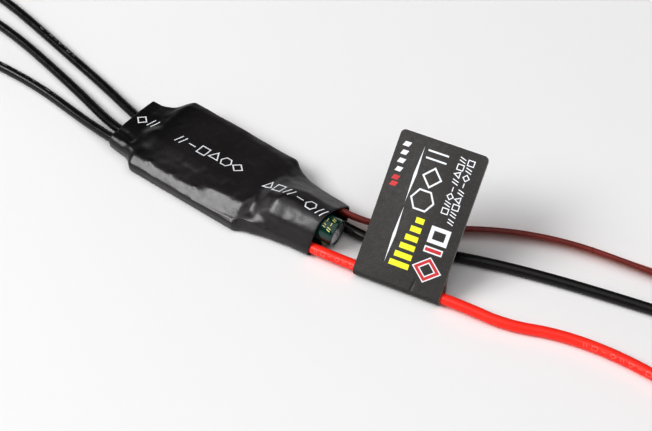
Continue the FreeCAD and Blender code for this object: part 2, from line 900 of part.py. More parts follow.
def place_on_plug(thing, setback=0.0):
    """The plug's own frame: +X out of its mouth, its back face setback behind the origin."""
    direction = end_direction(SIGNAL_ROUTES["red"])
    back = Vector(*SIGNAL_ROUTES["red"][-1]) - direction * STRAND_DEPTH
    rotation = FreeCAD.Rotation(Vector(1, 0, 0), direction)
    place = back + direction * setback
    move(thing, place.x, place.y, 0.0, rotation)
    return thing


def plug_housing():
    length, width, height = (size[f"plug_{side}"] for side in ("length", "width", "height"))
    pitch, side = size["plug_pitch"], size["cavity_side"]
    window_length, window_width = size["window_length"], size["window_width"]
    body = new_body("plug_housing")
    outline = new_sketch(body, "XY_Plane")
    draw_rectangle(outline, length / 2, as_size(0), length, width)
    pad(body, outline, height)
    document.recompute()
    cavities = new_sketch(body, "YZ_Plane")
    windows = new_sketch(body, "XY_Plane", height)
    for step in (-1.0, 0.0, 1.0):
        draw_rectangle(cavities, pitch * step, height / 2, side, side)
        draw_rectangle(windows, size["window_place"], pitch * step, window_length, window_width)
    pocket(body, cavities, length, reverse=True)
    document.recompute()
    pocket(body, windows, (height - side) / 2)
    add_node(place_on_plug(body), "plug_housing")


def plug_contacts():
    side, bore, length = size["contact_side"], size["contact_bore"], size["contact_length"]
    pitch, middle = size["plug_pitch"], size["plug_height"] / 2
    contacts = []
    for index, step in enumerate((-1.0, 0.0, 1.0)):
        place = (length / 2, pitch * step)
        outer = box(f"contact_block_{index}", *place, middle - side / 2, length, side, side)
        inner = box(f"contact_bore_{index}", *place, middle - bore / 2, length, bore, bore)
        contacts.append(combined("Part::Cut", f"contact_{index}", outer, inner))
    compound = document.addObject("Part::Compound", "contacts")
    compound.Links = contacts
    add_node(place_on_plug(compound, STRAND_DEPTH), "plug_contacts")


# ---------------------------------------------------------------- card tag


def draw_loop(sketch, radius, neck_x, neck_z, stem_top=None):
    """A round loop about the origin with a straight front, and a back that meets it at a neck.

    With stem_top, the front carries on above the neck as a straight stem.
    """
    loop, across, height = float(radius), float(neck_x), float(neck_z)
    touch = math.atan2(height, across) - math.acos(loop / math.hypot(across, height))
    circle = Part.Circle(Vector(), Vector(0, 0, 1), loop)
    arc = sketch.addGeometry(Part.ArcOfCircle(circle, math.pi, 2 * math.pi + touch), False)
    back = Vector(loop * math.cos(touch), loop * math.sin(touch), 0)
    front = Vector(-loop, 0, 0)
    path = [(neck_x, neck_z)]
    if stem_top is not None:
        path += [(neck_x, stem_top), (-radius, stem_top)]
    places = [back] + [Vector(float(x), float(z), 0) for x, z in path] + [front]
    lines = [sketch.addGeometry(Part.LineSegment(a, b), False) for a, b in zip(places, places[1:])]
    sketch.addConstraint(Sketcher.Constraint("Coincident", arc, 3, -1, 1))
    index = sketch.addConstraint(Sketcher.Constraint("Radius", arc, loop))
    sketch.setExpression(f"Constraints[{index}]", as_size(radius).formula)
    sketch.addConstraint(Sketcher.Constraint("Tangent", arc, 2, lines[0], 1))
    sketch.addConstraint(Sketcher.Constraint("Tangent", lines[-1], 2, arc, 1))
    for line, follower, (x, z) in zip(lines, lines[1:], path):
        sketch.addConstraint(Sketcher.Constraint("Coincident", line, 2, follower, 1))
        fix_point(sketch, line, 2, x, z)


def draw_corner_waste(sketch, side):
    """What is trimmed from one top corner of the card to round it."""
    edge, top, radius = size["tag_width"] / 2 * side, size["tag_reach"], size["tag_corner"]
    inner, low = edge - radius * side, top - radius
    centre = Vector(float(inner), float(low), 0)
    start, end = (0, math.pi / 2) if side > 0 else (math.pi / 2, math.pi)
    circle = Part.Circle(centre, Vector(0, 0, 1), float(radius))
    arc = sketch.addGeometry(Part.ArcOfCircle(circle, start, end), False)
    corners = [(edge, low), (edge, top), (inner, top)]
    places = [Vector(float(x), float(z), 0) for x, z in corners]
    lines = [sketch.addGeometry(Part.LineSegment(a, b), False) for a, b in zip(places, places[1:])]
    first_end, second_end = (1, 2) if side > 0 else (2, 1)
    sketch.addConstraint(Sketcher.Constraint("Coincident", lines[0], 1, arc, first_end))
    sketch.addConstraint(Sketcher.Constraint("Coincident", lines[0], 2, lines[1], 1))
    sketch.addConstraint(Sketcher.Constraint("Coincident", lines[1], 2, arc, second_end))
    fix_point(sketch, lines[0], 1, edge, low)
    fix_point(sketch, lines[0], 2, edge, top)
    fix_point(sketch, lines[1], 2, inner, top)
    index = sketch.addConstraint(Sketcher.Constraint("Radius", arc, float(radius)))
    sketch.setExpression(f"Constraints[{index}]", radius.formula)


def tag_rotation():
    """Local +X along the lead and local +Z up the leaning card."""
    heading = FreeCAD.Rotation(Vector(0, 0, 1), size["tag_heading"].number)
    lean = FreeCAD.Rotation(Vector(1, 0, 0), size["tag_lean"].number - 90)
    return heading.multiply(lean)


def label_tag():
    """One strip of card folded round the positive lead, its two leaves stuck together."""
    outer, inner = size["tag_fold_outer"], size["tag_fold_inner"]
    neck, width, thickness = size["tag_neck"], size["tag_width"], size["tag_thickness"]
    body = new_body("label_tag")
    outline = new_sketch(body, "YZ_Plane")
    draw_loop(outline, outer, thickness - outer, neck, size["tag_reach"])
    pad(body, outline, width, midplane=True)
    document.recompute()
    hole = new_sketch(body, "YZ_Plane")
    draw_loop(hole, inner, -inner, neck)
    pocket(body, hole, width * 2, midplane=True)
    document.recompute()
    corners = new_sketch(body, "XZ_Plane")
    for side in (1.0, -1.0):
        draw_corner_waste(corners, side)
    pocket(body, corners, outer * 4, midplane=True)
    move(body, size["tag_place_x"], size["tag_place_y"], size["tag_place_z"], tag_rotation())
    add_node(body, "label_tag")


# ---------------------------------------------------------------- build, check and write


def check_document():
    document.recompute()
    for thing in document.Objects:
        if "Invalid" in thing.State or "Error" in thing.State:
            raise ValueError(f"{thing.Label} failed: {thing.State}")
    for node in nodes:
        if node.Shape.isNull() or not node.Shape.isValid():
            raise ValueError(f"{node.Label} has no valid shape")
        if not node.Shape.Solids:
            raise ValueError(f"{node.Label} holds no solid")


def write_nodes():
    os.makedirs("parts", exist_ok=True)
    for node in nodes:
        node.Shape.exportStep(f"parts/{node.Label}.step")
        print(f"{node.Label}: {len(node.Shape.Solids)} solids, {node.Shape.Volume:.2f} mm3")


heat_shrink_sleeve()
circuit_board()
board_parts()
capacitor_can()
capacitor_fill()
capacitor_vinyl_sleeve()
capacitor_wires()
leads()
lead_cores()
solder_joints()
tinned_ends()
bullet_connectors()
plug_housing()
plug_contacts()
label_tag()
check_document()
write_nodes()
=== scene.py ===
import json
import math

import bmesh
import bpy
import numpy as np
from mathutils import Matrix, Vector, noise
from mathutils.bvhtree import BVHTree


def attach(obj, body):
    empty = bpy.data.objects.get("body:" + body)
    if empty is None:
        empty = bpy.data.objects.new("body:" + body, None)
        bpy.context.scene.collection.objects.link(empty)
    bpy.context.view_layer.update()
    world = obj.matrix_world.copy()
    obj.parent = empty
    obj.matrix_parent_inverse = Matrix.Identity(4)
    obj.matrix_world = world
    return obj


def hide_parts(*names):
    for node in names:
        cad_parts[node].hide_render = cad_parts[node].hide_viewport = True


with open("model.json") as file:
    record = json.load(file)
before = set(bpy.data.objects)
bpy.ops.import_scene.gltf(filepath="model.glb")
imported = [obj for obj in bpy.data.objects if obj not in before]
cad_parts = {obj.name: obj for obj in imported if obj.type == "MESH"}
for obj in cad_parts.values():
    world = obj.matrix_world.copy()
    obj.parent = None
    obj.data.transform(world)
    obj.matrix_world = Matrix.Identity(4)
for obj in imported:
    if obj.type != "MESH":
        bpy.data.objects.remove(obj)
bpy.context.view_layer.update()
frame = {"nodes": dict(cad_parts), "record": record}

MM = 0.001
TAU = 2 * math.pi
SHARP_ANGLE = math.radians(40)

# ---------------- routes of the leads, metres

MOTOR_ROUTES = {
    "a": [
        (-0.0189, 0.0007, 0.0025), (-0.0233, 0.0009, 0.0021), (-0.0293, 0.0026, 0.0014),
        (-0.0376, 0.0049, 0.0009), (-0.0485, 0.0071, 0.0009), (-0.0600, 0.0095, 0.0009),
        (-0.0705, 0.0115, 0.0009), (-0.0800, 0.0122, 0.0009), (-0.0875, 0.0120, 0.00185),
        (-0.0940, 0.0114, 0.00185),
    ],
    "b": [
        (-0.0189, -0.0027, 0.0025), (-0.0236, -0.0036, 0.0021), (-0.0303, -0.0023, 0.0014),
        (-0.0386, 0.0001, 0.0009), (-0.0490, 0.0024, 0.0009), (-0.0605, 0.0047, 0.0009),
        (-0.0705, 0.0057, 0.0009), (-0.0795, 0.0055, 0.0009), (-0.0870, 0.0048, 0.00185),
        (-0.0935, 0.0038, 0.00185),
    ],
    "c": [
        (-0.0189, -0.0056, 0.0025), (-0.0234, -0.0060, 0.0021), (-0.0295, -0.0054, 0.0014),
        (-0.0370, -0.0044, 0.0009), (-0.0465, -0.0033, 0.0009), (-0.0575, -0.0034, 0.0009),
        (-0.0670, -0.0046, 0.0009), (-0.0765, -0.0057, 0.0009), (-0.0840, -0.0061, 0.00185),
        (-0.0905, -0.0062, 0.00185),
    ],
}
BATTERY_ROUTES = {
    "positive": [
        (0.0088, -0.0054, 0.0025), (0.0150, -0.00515, 0.00145), (0.0273, -0.00377, 0.0015),
        (0.0508, 0.00101, 0.0015), (0.0590, 0.0023, 0.0010), (0.0670, 0.0062, 0.0010),
        (0.0765, 0.0083, 0.0010), (0.0875, 0.0087, 0.0010), (0.0985, 0.0076, 0.0010),
        (0.1080, 0.0054, 0.0010), (0.1160, 0.0031, 0.0010),
    ],
    "negative": [
        (0.0088, 0.0024, 0.0025), (0.0155, 0.0036, 0.0015), (0.0235, 0.00335, 0.0014),
        (0.0305, 0.0042, 0.0010), (0.0380, 0.0079, 0.0010), (0.0465, 0.0118, 0.0010),
        (0.0565, 0.0154, 0.0010), (0.0675, 0.0186, 0.0010), (0.0785, 0.0215, 0.0010),
        (0.0895, 0.0240, 0.0010), (0.1000, 0.0258, 0.0010), (0.1100, 0.0268, 0.0010),
    ],
}
# Middle strand of the signal lead: point, tilt of the three strands in degrees, their pitch
SIGNAL_ROUTE = [
    ((0.0088, 0.0059, 0.0030), 0, 0.0013), ((0.0146, 0.0048, 0.0034), 30, 0.0011),
    ((0.0215, 0.0044, 0.0035), 60, 0.00108), ((0.0273, 0.0064, 0.0023), 48, 0.00108),
    ((0.0338, 0.0112, 0.0014), 45, 0.00108), ((0.0405, 0.0169, 0.00132), 45, 0.00108),
    ((0.0485, 0.0220, 0.00133), 46, 0.00108), ((0.0580, 0.0257, 0.00135), 48, 0.00108),
    ((0.0685, 0.0277, 0.00135), 48, 0.00108), ((0.0785, 0.0299, 0.00106), 28, 0.00108),
    ((0.0880, 0.0314, 0.00066), 5, 0.00108), ((0.0980, 0.0316, 0.00056), 0, 0.00108),
    ((0.1080, 0.0313, 0.00056), 0, 0.00108), ((0.1164, 0.0315, 0.00056), 0, 0.00108),
    ((0.1199, 0.0350, 0.00056), 0, 0.00108), ((0.1199, 0.0398, 0.00056), 0, 0.00108),
    ((0.1164, 0.0433, 0.00056), 0, 0.00108), ((0.1095, 0.0434, 0.0008), 0, 0.0015),
    ((0.1015, 0.0433, 0.00125), 0, 0.00254), ((0.0935, 0.0433, 0.00125), 0, 0.00254),
]
MOTOR_LEAD_RADIUS = 0.0009
BATTERY_LEAD_RADIUS = 0.0010
STRAND_RADIUS = 0.000525

# ---------------- node materials


class Shader:
    """A procedural material that is built from its principled shader backwards."""

    def __init__(self, name, color, roughness=0.5, metallic=0.0, **constants):
        self.material = bpy.data.materials.new(name)
        self.material.use_nodes = True
        self.tree = self.material.node_tree
        self.principled = self.tree.nodes["Principled BSDF"]
        self.color = (*color, 1.0)
        self.principled.inputs["Base Color"].default_value = self.color
        self.principled.inputs["Roughness"].default_value = roughness
        self.principled.inputs["Metallic"].default_value = metallic
        for key, value in constants.items():
            self.principled.inputs[key.replace("_", " ")].default_value = value
        self.coordinates = self.tree.nodes.new("ShaderNodeTexCoord").outputs["Object"]
        self.normal = None
        self.tint = None

    def node(self, kind, inputs=None, **properties):
        made = self.tree.nodes.new(kind)
        for key, value in properties.items():
            setattr(made, key, value)
        for key, value in (inputs or {}).items():
            if hasattr(value, "links"):
                self.tree.links.new(value, made.inputs[key])
            else:
                made.inputs[key].default_value = value
        return made

    def stretched(self, factors):
        """The object's coordinates, scaled apart along each axis."""
        inputs = {"Vector": self.coordinates, "Scale": factors}
        return self.node("ShaderNodeMapping", inputs).outputs["Vector"]

    def noise(self, size, detail=2.0, roughness=0.5, vector=None):
        """Noise whose features are about that size in metres."""
        inputs = {"Vector": vector or self.coordinates, "Scale": 1 / size}
        inputs.update({"Detail": detail, "Roughness": roughness})
        return self.node("ShaderNodeTexNoise", inputs).outputs["Fac"]

    def waves(self, size, direction="X", distortion=0.0, vector=None):
        inputs = {"Vector": vector or self.coordinates, "Scale": 1 / (2 * size), "Distortion": distortion}
        return self.node("ShaderNodeTexWave", inputs, bands_direction=direction).outputs["Fac"]

    def ramp(self, value, low, high, out_low=0.0, out_high=1.0):
        inputs = {"Value": value, "From Min": low, "From Max": high, "To Min": out_low, "To Max": out_high}
        return self.node("ShaderNodeMapRange", inputs).outputs["Result"]

    def math(self, operation, first, second=0.0):
        return self.node("ShaderNodeMath", {0: first, 1: second}, operation=operation).outputs["Value"]

    def mix(self, share, first, second):
        made = self.node("ShaderNodeMix", data_type="RGBA")
        for socket, value in ((made.inputs[0], share), (made.inputs[6], first), (made.inputs[7], second)):
            if hasattr(value, "links"):
                self.tree.links.new(value, socket)
            else:
                socket.default_value = value
        return made.outputs[2]

    def paint(self, share, color):
        """Lay a second colour over what the base has so far."""
        self.tint = self.mix(share, self.tint or self.color, (*color, 1.0))
        self.tree.links.new(self.tint, self.principled.inputs["Base Color"])
        return self

    def rough(self, value, low, high, out_low, out_high):
        gloss = self.ramp(value, low, high, out_low, out_high)
        self.tree.links.new(gloss, self.principled.inputs["Roughness"])
        return self

    def bump(self, height, depth, strength=1.0):
        """Relief of that depth in metres, on top of the relief so far."""
        inputs = {"Height": height, "Distance": depth, "Strength": strength}
        if self.normal:
            inputs["Normal"] = self.normal
        self.normal = self.node("ShaderNodeBump", inputs).outputs["Normal"]
        self.tree.links.new(self.normal, self.principled.inputs["Normal"])
        return self

    def clouds(self, size, detail, color, low=0.35, high=0.7, share=1.0):
        """A second colour in soft clouds of about that size in metres."""
        return self.paint(self.ramp(self.noise(size, detail), low, high, 0.0, share), color)

    def uneven(self, size, detail, low, high):
        """Roughness that wanders between two values."""
        return self.rough(self.noise(size, detail), 0.3, 0.7, low, high)

    def grain(self, size, detail, depth):
        """Fine relief of that size and depth in metres."""
        return self.bump(self.noise(size, detail), depth)


def rubbery(name, color, shade, roughness, grain, grain_depth):
    """Soft plastic or rubber: faint clouds of colour, uneven gloss and a fine grain."""
    made = Shader(name, color, roughness)
    made.clouds(0.004, 3.0, shade)
    made.uneven(0.0016, 4.0, roughness - 0.05, roughness + 0.07)
    made.grain(grain, 3.0, grain_depth)
    return made


def sleeve_film():
    made = Shader("shrink_film", (0.017, 0.0145, 0.0148), 0.32, Specular_IOR_Level=0.72)
    made.clouds(0.006, 4.0, (0.025, 0.0215, 0.022))
    made.clouds(0.00018, 2.0, (0.035, 0.034, 0.033), 0.62, 0.78, 0.5)
    # Painted shade: from x = -12 mm towards the motor end, the film's colour is darkened where its top
    # reflects less light.
    painted_shade_x = made.node("ShaderNodeSeparateXYZ", {0: made.coordinates}).outputs["X"]
    made.paint(made.ramp(painted_shade_x, -0.012, -0.017, 0.0, 0.85), (0.0015, 0.0013, 0.0014))
    made.rough(made.noise(0.0012, 5.0, 0.6), 0.3, 0.72, 0.27, 0.36)
    made.grain(0.0018, 3.0, 0.00005)
    made.grain(0.00022, 2.0, 0.000012)
    return made.material


def black_silicone():
    made = rubbery("black_silicone", (0.0035, 0.0035, 0.004), (0.006, 0.006, 0.0065), 0.26, 0.00025, 0.000008)
    made.grain(0.003, 2.0, 0.00004)
    return made.material


def red_silicone():
    made = rubbery("red_silicone", (1.0, 0.044, 0.022), (0.97, 0.034, 0.017), 0.36, 0.00025, 0.000008)
    made.principled.inputs["Subsurface Weight"].default_value = 0.08
    made.principled.inputs["Subsurface Radius"].default_value = (0.0008, 0.0002, 0.0002)
    made.principled.inputs["Subsurface Scale"].default_value = 1.0
    return made.material


def strand_plastic(name, color, shade):
    return rubbery(name, color, shade, 0.3, 0.0004, 0.000006).material


def polished(name, color, roughness, scratch):
    """Metal with fine scratches and a patchy finish."""
    made = Shader(name, color, roughness, metallic=1.0)
    made.clouds(0.0012, 4.0, tuple(c * 0.72 for c in color), 0.35, 0.75, 0.6)
    made.rough(made.noise(0.0005, 5.0, 0.65), 0.3, 0.7, roughness * 0.7, roughness * 1.4)
    made.bump(made.noise(0.00012, 3.0, vector=made.stretched(scratch)), 0.000008)
    return made


def board_mask():
    made = Shader("board_mask", (0.008, 0.075, 0.028), 0.3)
    grid = made.math("MULTIPLY", made.waves(0.0009, "X", 2.0), made.waves(0.0011, "Y", 3.0))
    made.paint(made.ramp(grid, 0.35, 0.4), (0.012, 0.13, 0.045))
    made.bump(made.ramp(grid, 0.33, 0.42), 0.00003)
    made.grain(0.0003, 2.0, 0.000006)
    return made.material


def chip_epoxy():
    made = Shader("chip_epoxy", (0.014, 0.014, 0.015), 0.55)
    made.paint(made.ramp(made.noise(0.0001, 3.0), 0.5, 0.75), (0.03, 0.03, 0.031))
    made.grain(0.00008, 3.0, 0.00001)
    return made.material


def fired_ceramic():
    made = Shader("fired_ceramic", (0.42, 0.31, 0.2), 0.5)
    made.clouds(0.0006, 4.0, (0.33, 0.23, 0.15))
    made.grain(0.00012, 3.0, 0.000008)
    return made.material


def capacitor_vinyl():
    made = Shader("capacitor_vinyl", (0.001, 0.05, 0.038), 0.10, Coat_Weight=1.0, Coat_Roughness=0.03)
    made.clouds(0.0025, 3.0, (0.001, 0.028, 0.025))
    made.uneven(0.0008, 4.0, 0.07, 0.13)
    made.grain(0.0016, 3.0, 0.000008)
    return made.material


def bung():
    return rubbery("bung", (0.02, 0.02, 0.02), (0.03, 0.03, 0.03), 0.6, 0.0002, 0.00001).material


def foil_roll():
    made = Shader("foil_roll", (0.36, 0.31, 0.22), 0.6)
    made.paint(made.waves(0.0002, "X", 1.0), (0.5, 0.5, 0.5))
    made.bump(made.waves(0.0002, "X", 1.0), 0.00002)
    return made.material


def card_face():
    """Charcoal print under a thin matt laminate, with fine pale specks and rubbed edges."""
    made = Shader("card_face", (0.0185, 0.0162, 0.014), 0.44)
    made.clouds(0.008, 3.0, (0.0235, 0.021, 0.0185))
    made.clouds(0.00024, 1.0, (0.09, 0.085, 0.08), 0.6, 0.8, 0.75)
    rubbed = made.noise(0.0003, 2.0, vector=made.stretched((1.0, 1.0, 1.3)))
    made.paint(made.ramp(rubbed, 0.36, 0.24), (0.014, 0.013, 0.012))
    made.uneven(0.0007, 4.0, 0.36, 0.5)
    made.grain(0.0003, 2.0, 0.000009)
    made.grain(0.006, 2.0, 0.00006)
    return made.material


def card_core():
    made = Shader("card_core", (0.42, 0.41, 0.4), 0.75)
    made.clouds(0.00025, 3.0, (0.2, 0.19, 0.18))
    made.grain(0.00015, 3.0, 0.00002)
    return made.material


def ink(name, color, shade, worn=0.62):
    """Printed ink: slightly uneven, thin where the grain of the ground shows through."""
    made = Shader(name, color, 0.4)
    made.clouds(0.0009, 3.0, shade, 0.35, 0.75, 0.8)
    made.clouds(0.00014, 2.0, tuple(c * 0.55 for c in color), worn, worn + 0.2, 0.6)
    made.grain(0.0002, 2.0, 0.000004)
    return made.material


def moulded_nylon():
    made = rubbery("moulded_nylon", (0.014, 0.014, 0.015), (0.02, 0.02, 0.021), 0.45, 0.00015, 0.00001)
    made.bump(made.waves(0.0006, "X", 6.0), 0.000004)
    return made.material


MATERIALS = {
    "shrink_sleeve": sleeve_film(),
    "board": board_mask(),
    "chip": chip_epoxy(),
    "ceramic_part": fired_ceramic(),
    "tinned_metal": polished("tinned_metal", (0.72, 0.72, 0.7), 0.32, (1.0, 1.0, 1.0)).material,
    "can": polished("can_metal", (0.8, 0.8, 0.8), 0.34, (1.0, 5.0, 1.0)).material,
    "capacitor_film": capacitor_vinyl(),
    "bung_rubber": bung(),
    "foil_roll": foil_roll(),
    "lead_black": black_silicone(),
    "lead_red": red_silicone(),
    "strand_brown": strand_plastic("brown_vinyl", (0.22, 0.03, 0.022), (0.17, 0.023, 0.016)),
    "strand_red": strand_plastic("red_vinyl", (0.42, 0.014, 0.01), (0.36, 0.01, 0.008)),
    "strand_orange": strand_plastic("orange_vinyl", (0.75, 0.16, 0.01), (0.66, 0.13, 0.01)),
    "gold": polished("gold_plate", (0.85, 0.61, 0.24), 0.22, (1.0, 1.0, 8.0)).material,
    "connector_sleeve": rubbery(
        "connector_sleeve", (0.012, 0.012, 0.013), (0.018, 0.018, 0.019), 0.4, 0.0003, 0.00001
    ).material,
    "plug_plastic": moulded_nylon(),
    "tag_card": card_face(),
}
CARD_CORE = card_core()
WHITE_INK = ink("white_ink", (0.82, 0.83, 0.86), (0.7, 0.72, 0.76))
YELLOW_INK = ink("yellow_ink", (0.87, 0.88, 0.015), (0.8, 0.78, 0.01))
RED_INK = ink("red_ink", (0.62, 0.03, 0.035), (0.5, 0.025, 0.03))
GOLD_INK = ink("gold_ink", (0.62, 0.58, 0.18), (0.5, 0.52, 0.16))
PALE_INK = ink("pale_ink", (0.3, 0.3, 0.32), (0.2, 0.2, 0.22), 0.5)
PINK_INK = ink("pink_ink", (0.9, 0.2, 0.17), (0.85, 0.12, 0.1), 0.5)

# ---------------- mesh helpers


def linked(name, data):
    """A new object of that data, in the scene."""
    thing = bpy.data.objects.new(name, data)
    bpy.context.scene.collection.objects.link(thing)
    return thing


def evaluated_mesh(thing):
    """A new mesh of an object as its modifiers or its curve make it."""
    bpy.context.view_layer.update()
    return bpy.data.meshes.new_from_object(thing.evaluated_get(bpy.context.evaluated_depsgraph_get()))


def add_piece(name, data, slot, stands_for=(), body="controller", material=None):
    """A piece on a body, in its slot's material unless it has one of its own."""
    thing = linked(name, data)
    data.materials.append(material or MATERIALS[slot])
    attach(thing, body)
    if stands_for:
        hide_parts(*stands_for)
    return thing


def mesh_from(name, vertices, faces, smooth=True):
    data = bpy.data.meshes.new(name)
    data.from_pydata([tuple(v) for v in vertices], [], faces)
    data.validate()
    made = bmesh.new()
    made.from_mesh(data)
    bmesh.ops.recalc_face_normals(made, faces=made.faces)
    made.to_mesh(data)
    made.free()
    data.polygons.foreach_set("use_smooth", [smooth] * len(data.polygons))
    return data


def grid_faces(rows, columns, wrap_rows=False, wrap_columns=True):
    faces = []
    for i in range(rows if wrap_rows else rows - 1):
        for j in range(columns if wrap_columns else columns - 1):
            a, b = i * columns + j, i * columns + (j + 1) % columns
            c, d = ((i + 1) % rows) * columns + (j + 1) % columns, ((i + 1) % rows) * columns + j
            faces.append((a, b, c, d))
    return faces


def grid_rim(rows, columns):
    """Indices round a grid's border, in order."""
    last = rows * columns - 1
    rim = list(range(columns)) + [(i + 1) * columns - 1 for i in range(1, rows)]
    rim += [last - j for j in range(1, columns)]
    return rim + [(rows - 1 - i) * columns for i in range(1, rows - 1)]


def wall_faces(rim, first, size):
    """Faces from a border that starts at first to the same border of the layer size vertices on."""
    faces = []
    for point, after in zip(rim, rim[1:] + rim[:1]):
        faces.append((first + point, first + after, first + size + after, first + size + point))
    return faces


def turned(name, outline, count=64):
    """A closed turned mesh from (radius, height) pairs, whose ends with no radius close to a point."""
    vertices, faces, rings = [], [], []
    for radius, height in outline:
        if radius < 1e-9:
            rings.append([len(vertices)])
            vertices.append(Vector((0, 0, height)))
            continue
        rings.append(list(range(len(vertices), len(vertices) + count)))
        for step in range(count):
            angle = TAU * step / count
            vertices.append(Vector((radius * math.cos(angle), radius * math.sin(angle), height)))
    closed = len(rings[0]) > 1
    pairs = list(zip(rings, rings[1:])) + ([(rings[-1], rings[0])] if closed else [])
    for low, high in pairs:
        for step in range(count):
            following = (step + 1) % count
            if len(low) == 1:
                faces.append((low[0], high[step], high[following]))
            elif len(high) == 1:
                faces.append((low[step], low[following], high[0]))
            else:
                faces.append((low[step], low[following], high[following], high[step]))
    return mesh_from(name, vertices, faces)


CORNER_SHARE = 0.36
SUPPORT_REACH = 1.25


def eased(points, reach, closed=True, steps=4):
    """A polyline with its corners rounded over about that reach, and a support point beside each."""
    places = [np.array(point, float) for point in points]
    out = []
    for index, corner in enumerate(places):
        if not closed and index in (0, len(places) - 1):
            out.append(corner)
            continue
        back = places[index - 1] - corner
        ahead = places[(index + 1) % len(places)] - corner
        back_long, ahead_long = np.linalg.norm(back), np.linalg.norm(ahead)
        used = min(reach, CORNER_SHARE * back_long, CORNER_SHARE * ahead_long)
        start, end = corner + back / back_long * used, corner + ahead / ahead_long * used
        out.append(corner + back / back_long * used * SUPPORT_REACH)
        for step in range(steps + 1):
            t = step / steps
            out.append((1 - t) ** 2 * start + 2 * t * (1 - t) * corner + t * t * end)
        out.append(corner + ahead / ahead_long * used * SUPPORT_REACH)
    return out


def hull(points):
    """Convex hull of points in a plane, anticlockwise."""
    ordered = sorted(set(map(tuple, np.round(points, 9))))

    def half(sequence):
        kept = []
        for p in sequence:
            while len(kept) > 1 and np.cross(np.subtract(kept[-1], kept[-2]), np.subtract(p, kept[-1])) <= 0:
                kept.pop()
            kept.append(p)
        return kept[:-1]

    return np.array(half(ordered) + half(ordered[::-1]))


# ---------------- cords


def spline_curve(name, route, radius):
    """A round cord on a smooth spline whose control points are the route."""
    data = bpy.data.curves.new(name, "CURVE")
    data.dimensions = "3D"
    spline = data.splines.new("NURBS")
    spline.points.add(len(route) - 1)
    for point, place in zip(spline.points, route):
        point.co = (*place, 1.0)
    spline.order_u = 3
    spline.use_endpoint_u = True
    spline.resolution_u = 24
    data.resolution_u = 24
    data.bevel_depth = radius
    data.bevel_resolution = 8
    data.use_fill_caps = True
    return data


def centreline(curve):
    """Points along a cord's own spline."""
    bare = curve.data.copy()
    bare.bevel_depth = 0.0
    holder = linked("centreline", bare)
    line = evaluated_mesh(holder)
    points = [v.co.copy() for v in line.vertices]
    bpy.data.objects.remove(holder)
    bpy.data.curves.remove(bare)
    bpy.data.meshes.remove(line)
    return points


def signal_strands():
    """Routes of the three strands, side by side across the middle strand's route."""
    middle = [Vector(point) for point, _, _ in SIGNAL_ROUTE]
    strands = {"brown": [], "red": [], "orange": []}
    last = len(middle) - 1
    for index, (_, tilt, pitch) in enumerate(SIGNAL_ROUTE):
        heading = middle[min(index + 1, last)] - middle[max(index - 1, 0)]
        level = Vector((heading.y, -heading.x, 0)).normalized()
        slope = math.radians(tilt)
        across = (level * math.cos(slope) + Vector((0, 0, 1)) * math.sin(slope)) * pitch
        strands["brown"].append(tuple(middle[index] + across))
        strands["red"].append(tuple(middle[index]))
        strands["orange"].append(tuple(middle[index] - across))
    return strands


SIGNAL_ROUTES = signal_strands()
cords = {}
for kind, routes, radius in (
    ("motor", MOTOR_ROUTES, MOTOR_LEAD_RADIUS),
    ("battery", BATTERY_ROUTES, BATTERY_LEAD_RADIUS),
    ("signal", SIGNAL_ROUTES, STRAND_RADIUS),
):
    for end, route in routes.items():
        node = f"{kind}_lead_{end}"
        slot = {"motor": "lead_black", "signal": f"strand_{end}"}.get(kind)
        slot = slot or {"positive": "lead_red", "negative": "lead_black"}[end]
        cords[node] = add_piece(f"{node}_cord", spline_curve(node, route, radius), slot, (node,))

# ---------------- shrink sleeve

WALL = 0.00035
AROUND = 200
ALONG = 250
INNER_STEP = 4
BODY_POINTS = 96
RELIEF_LIMIT = 0.5
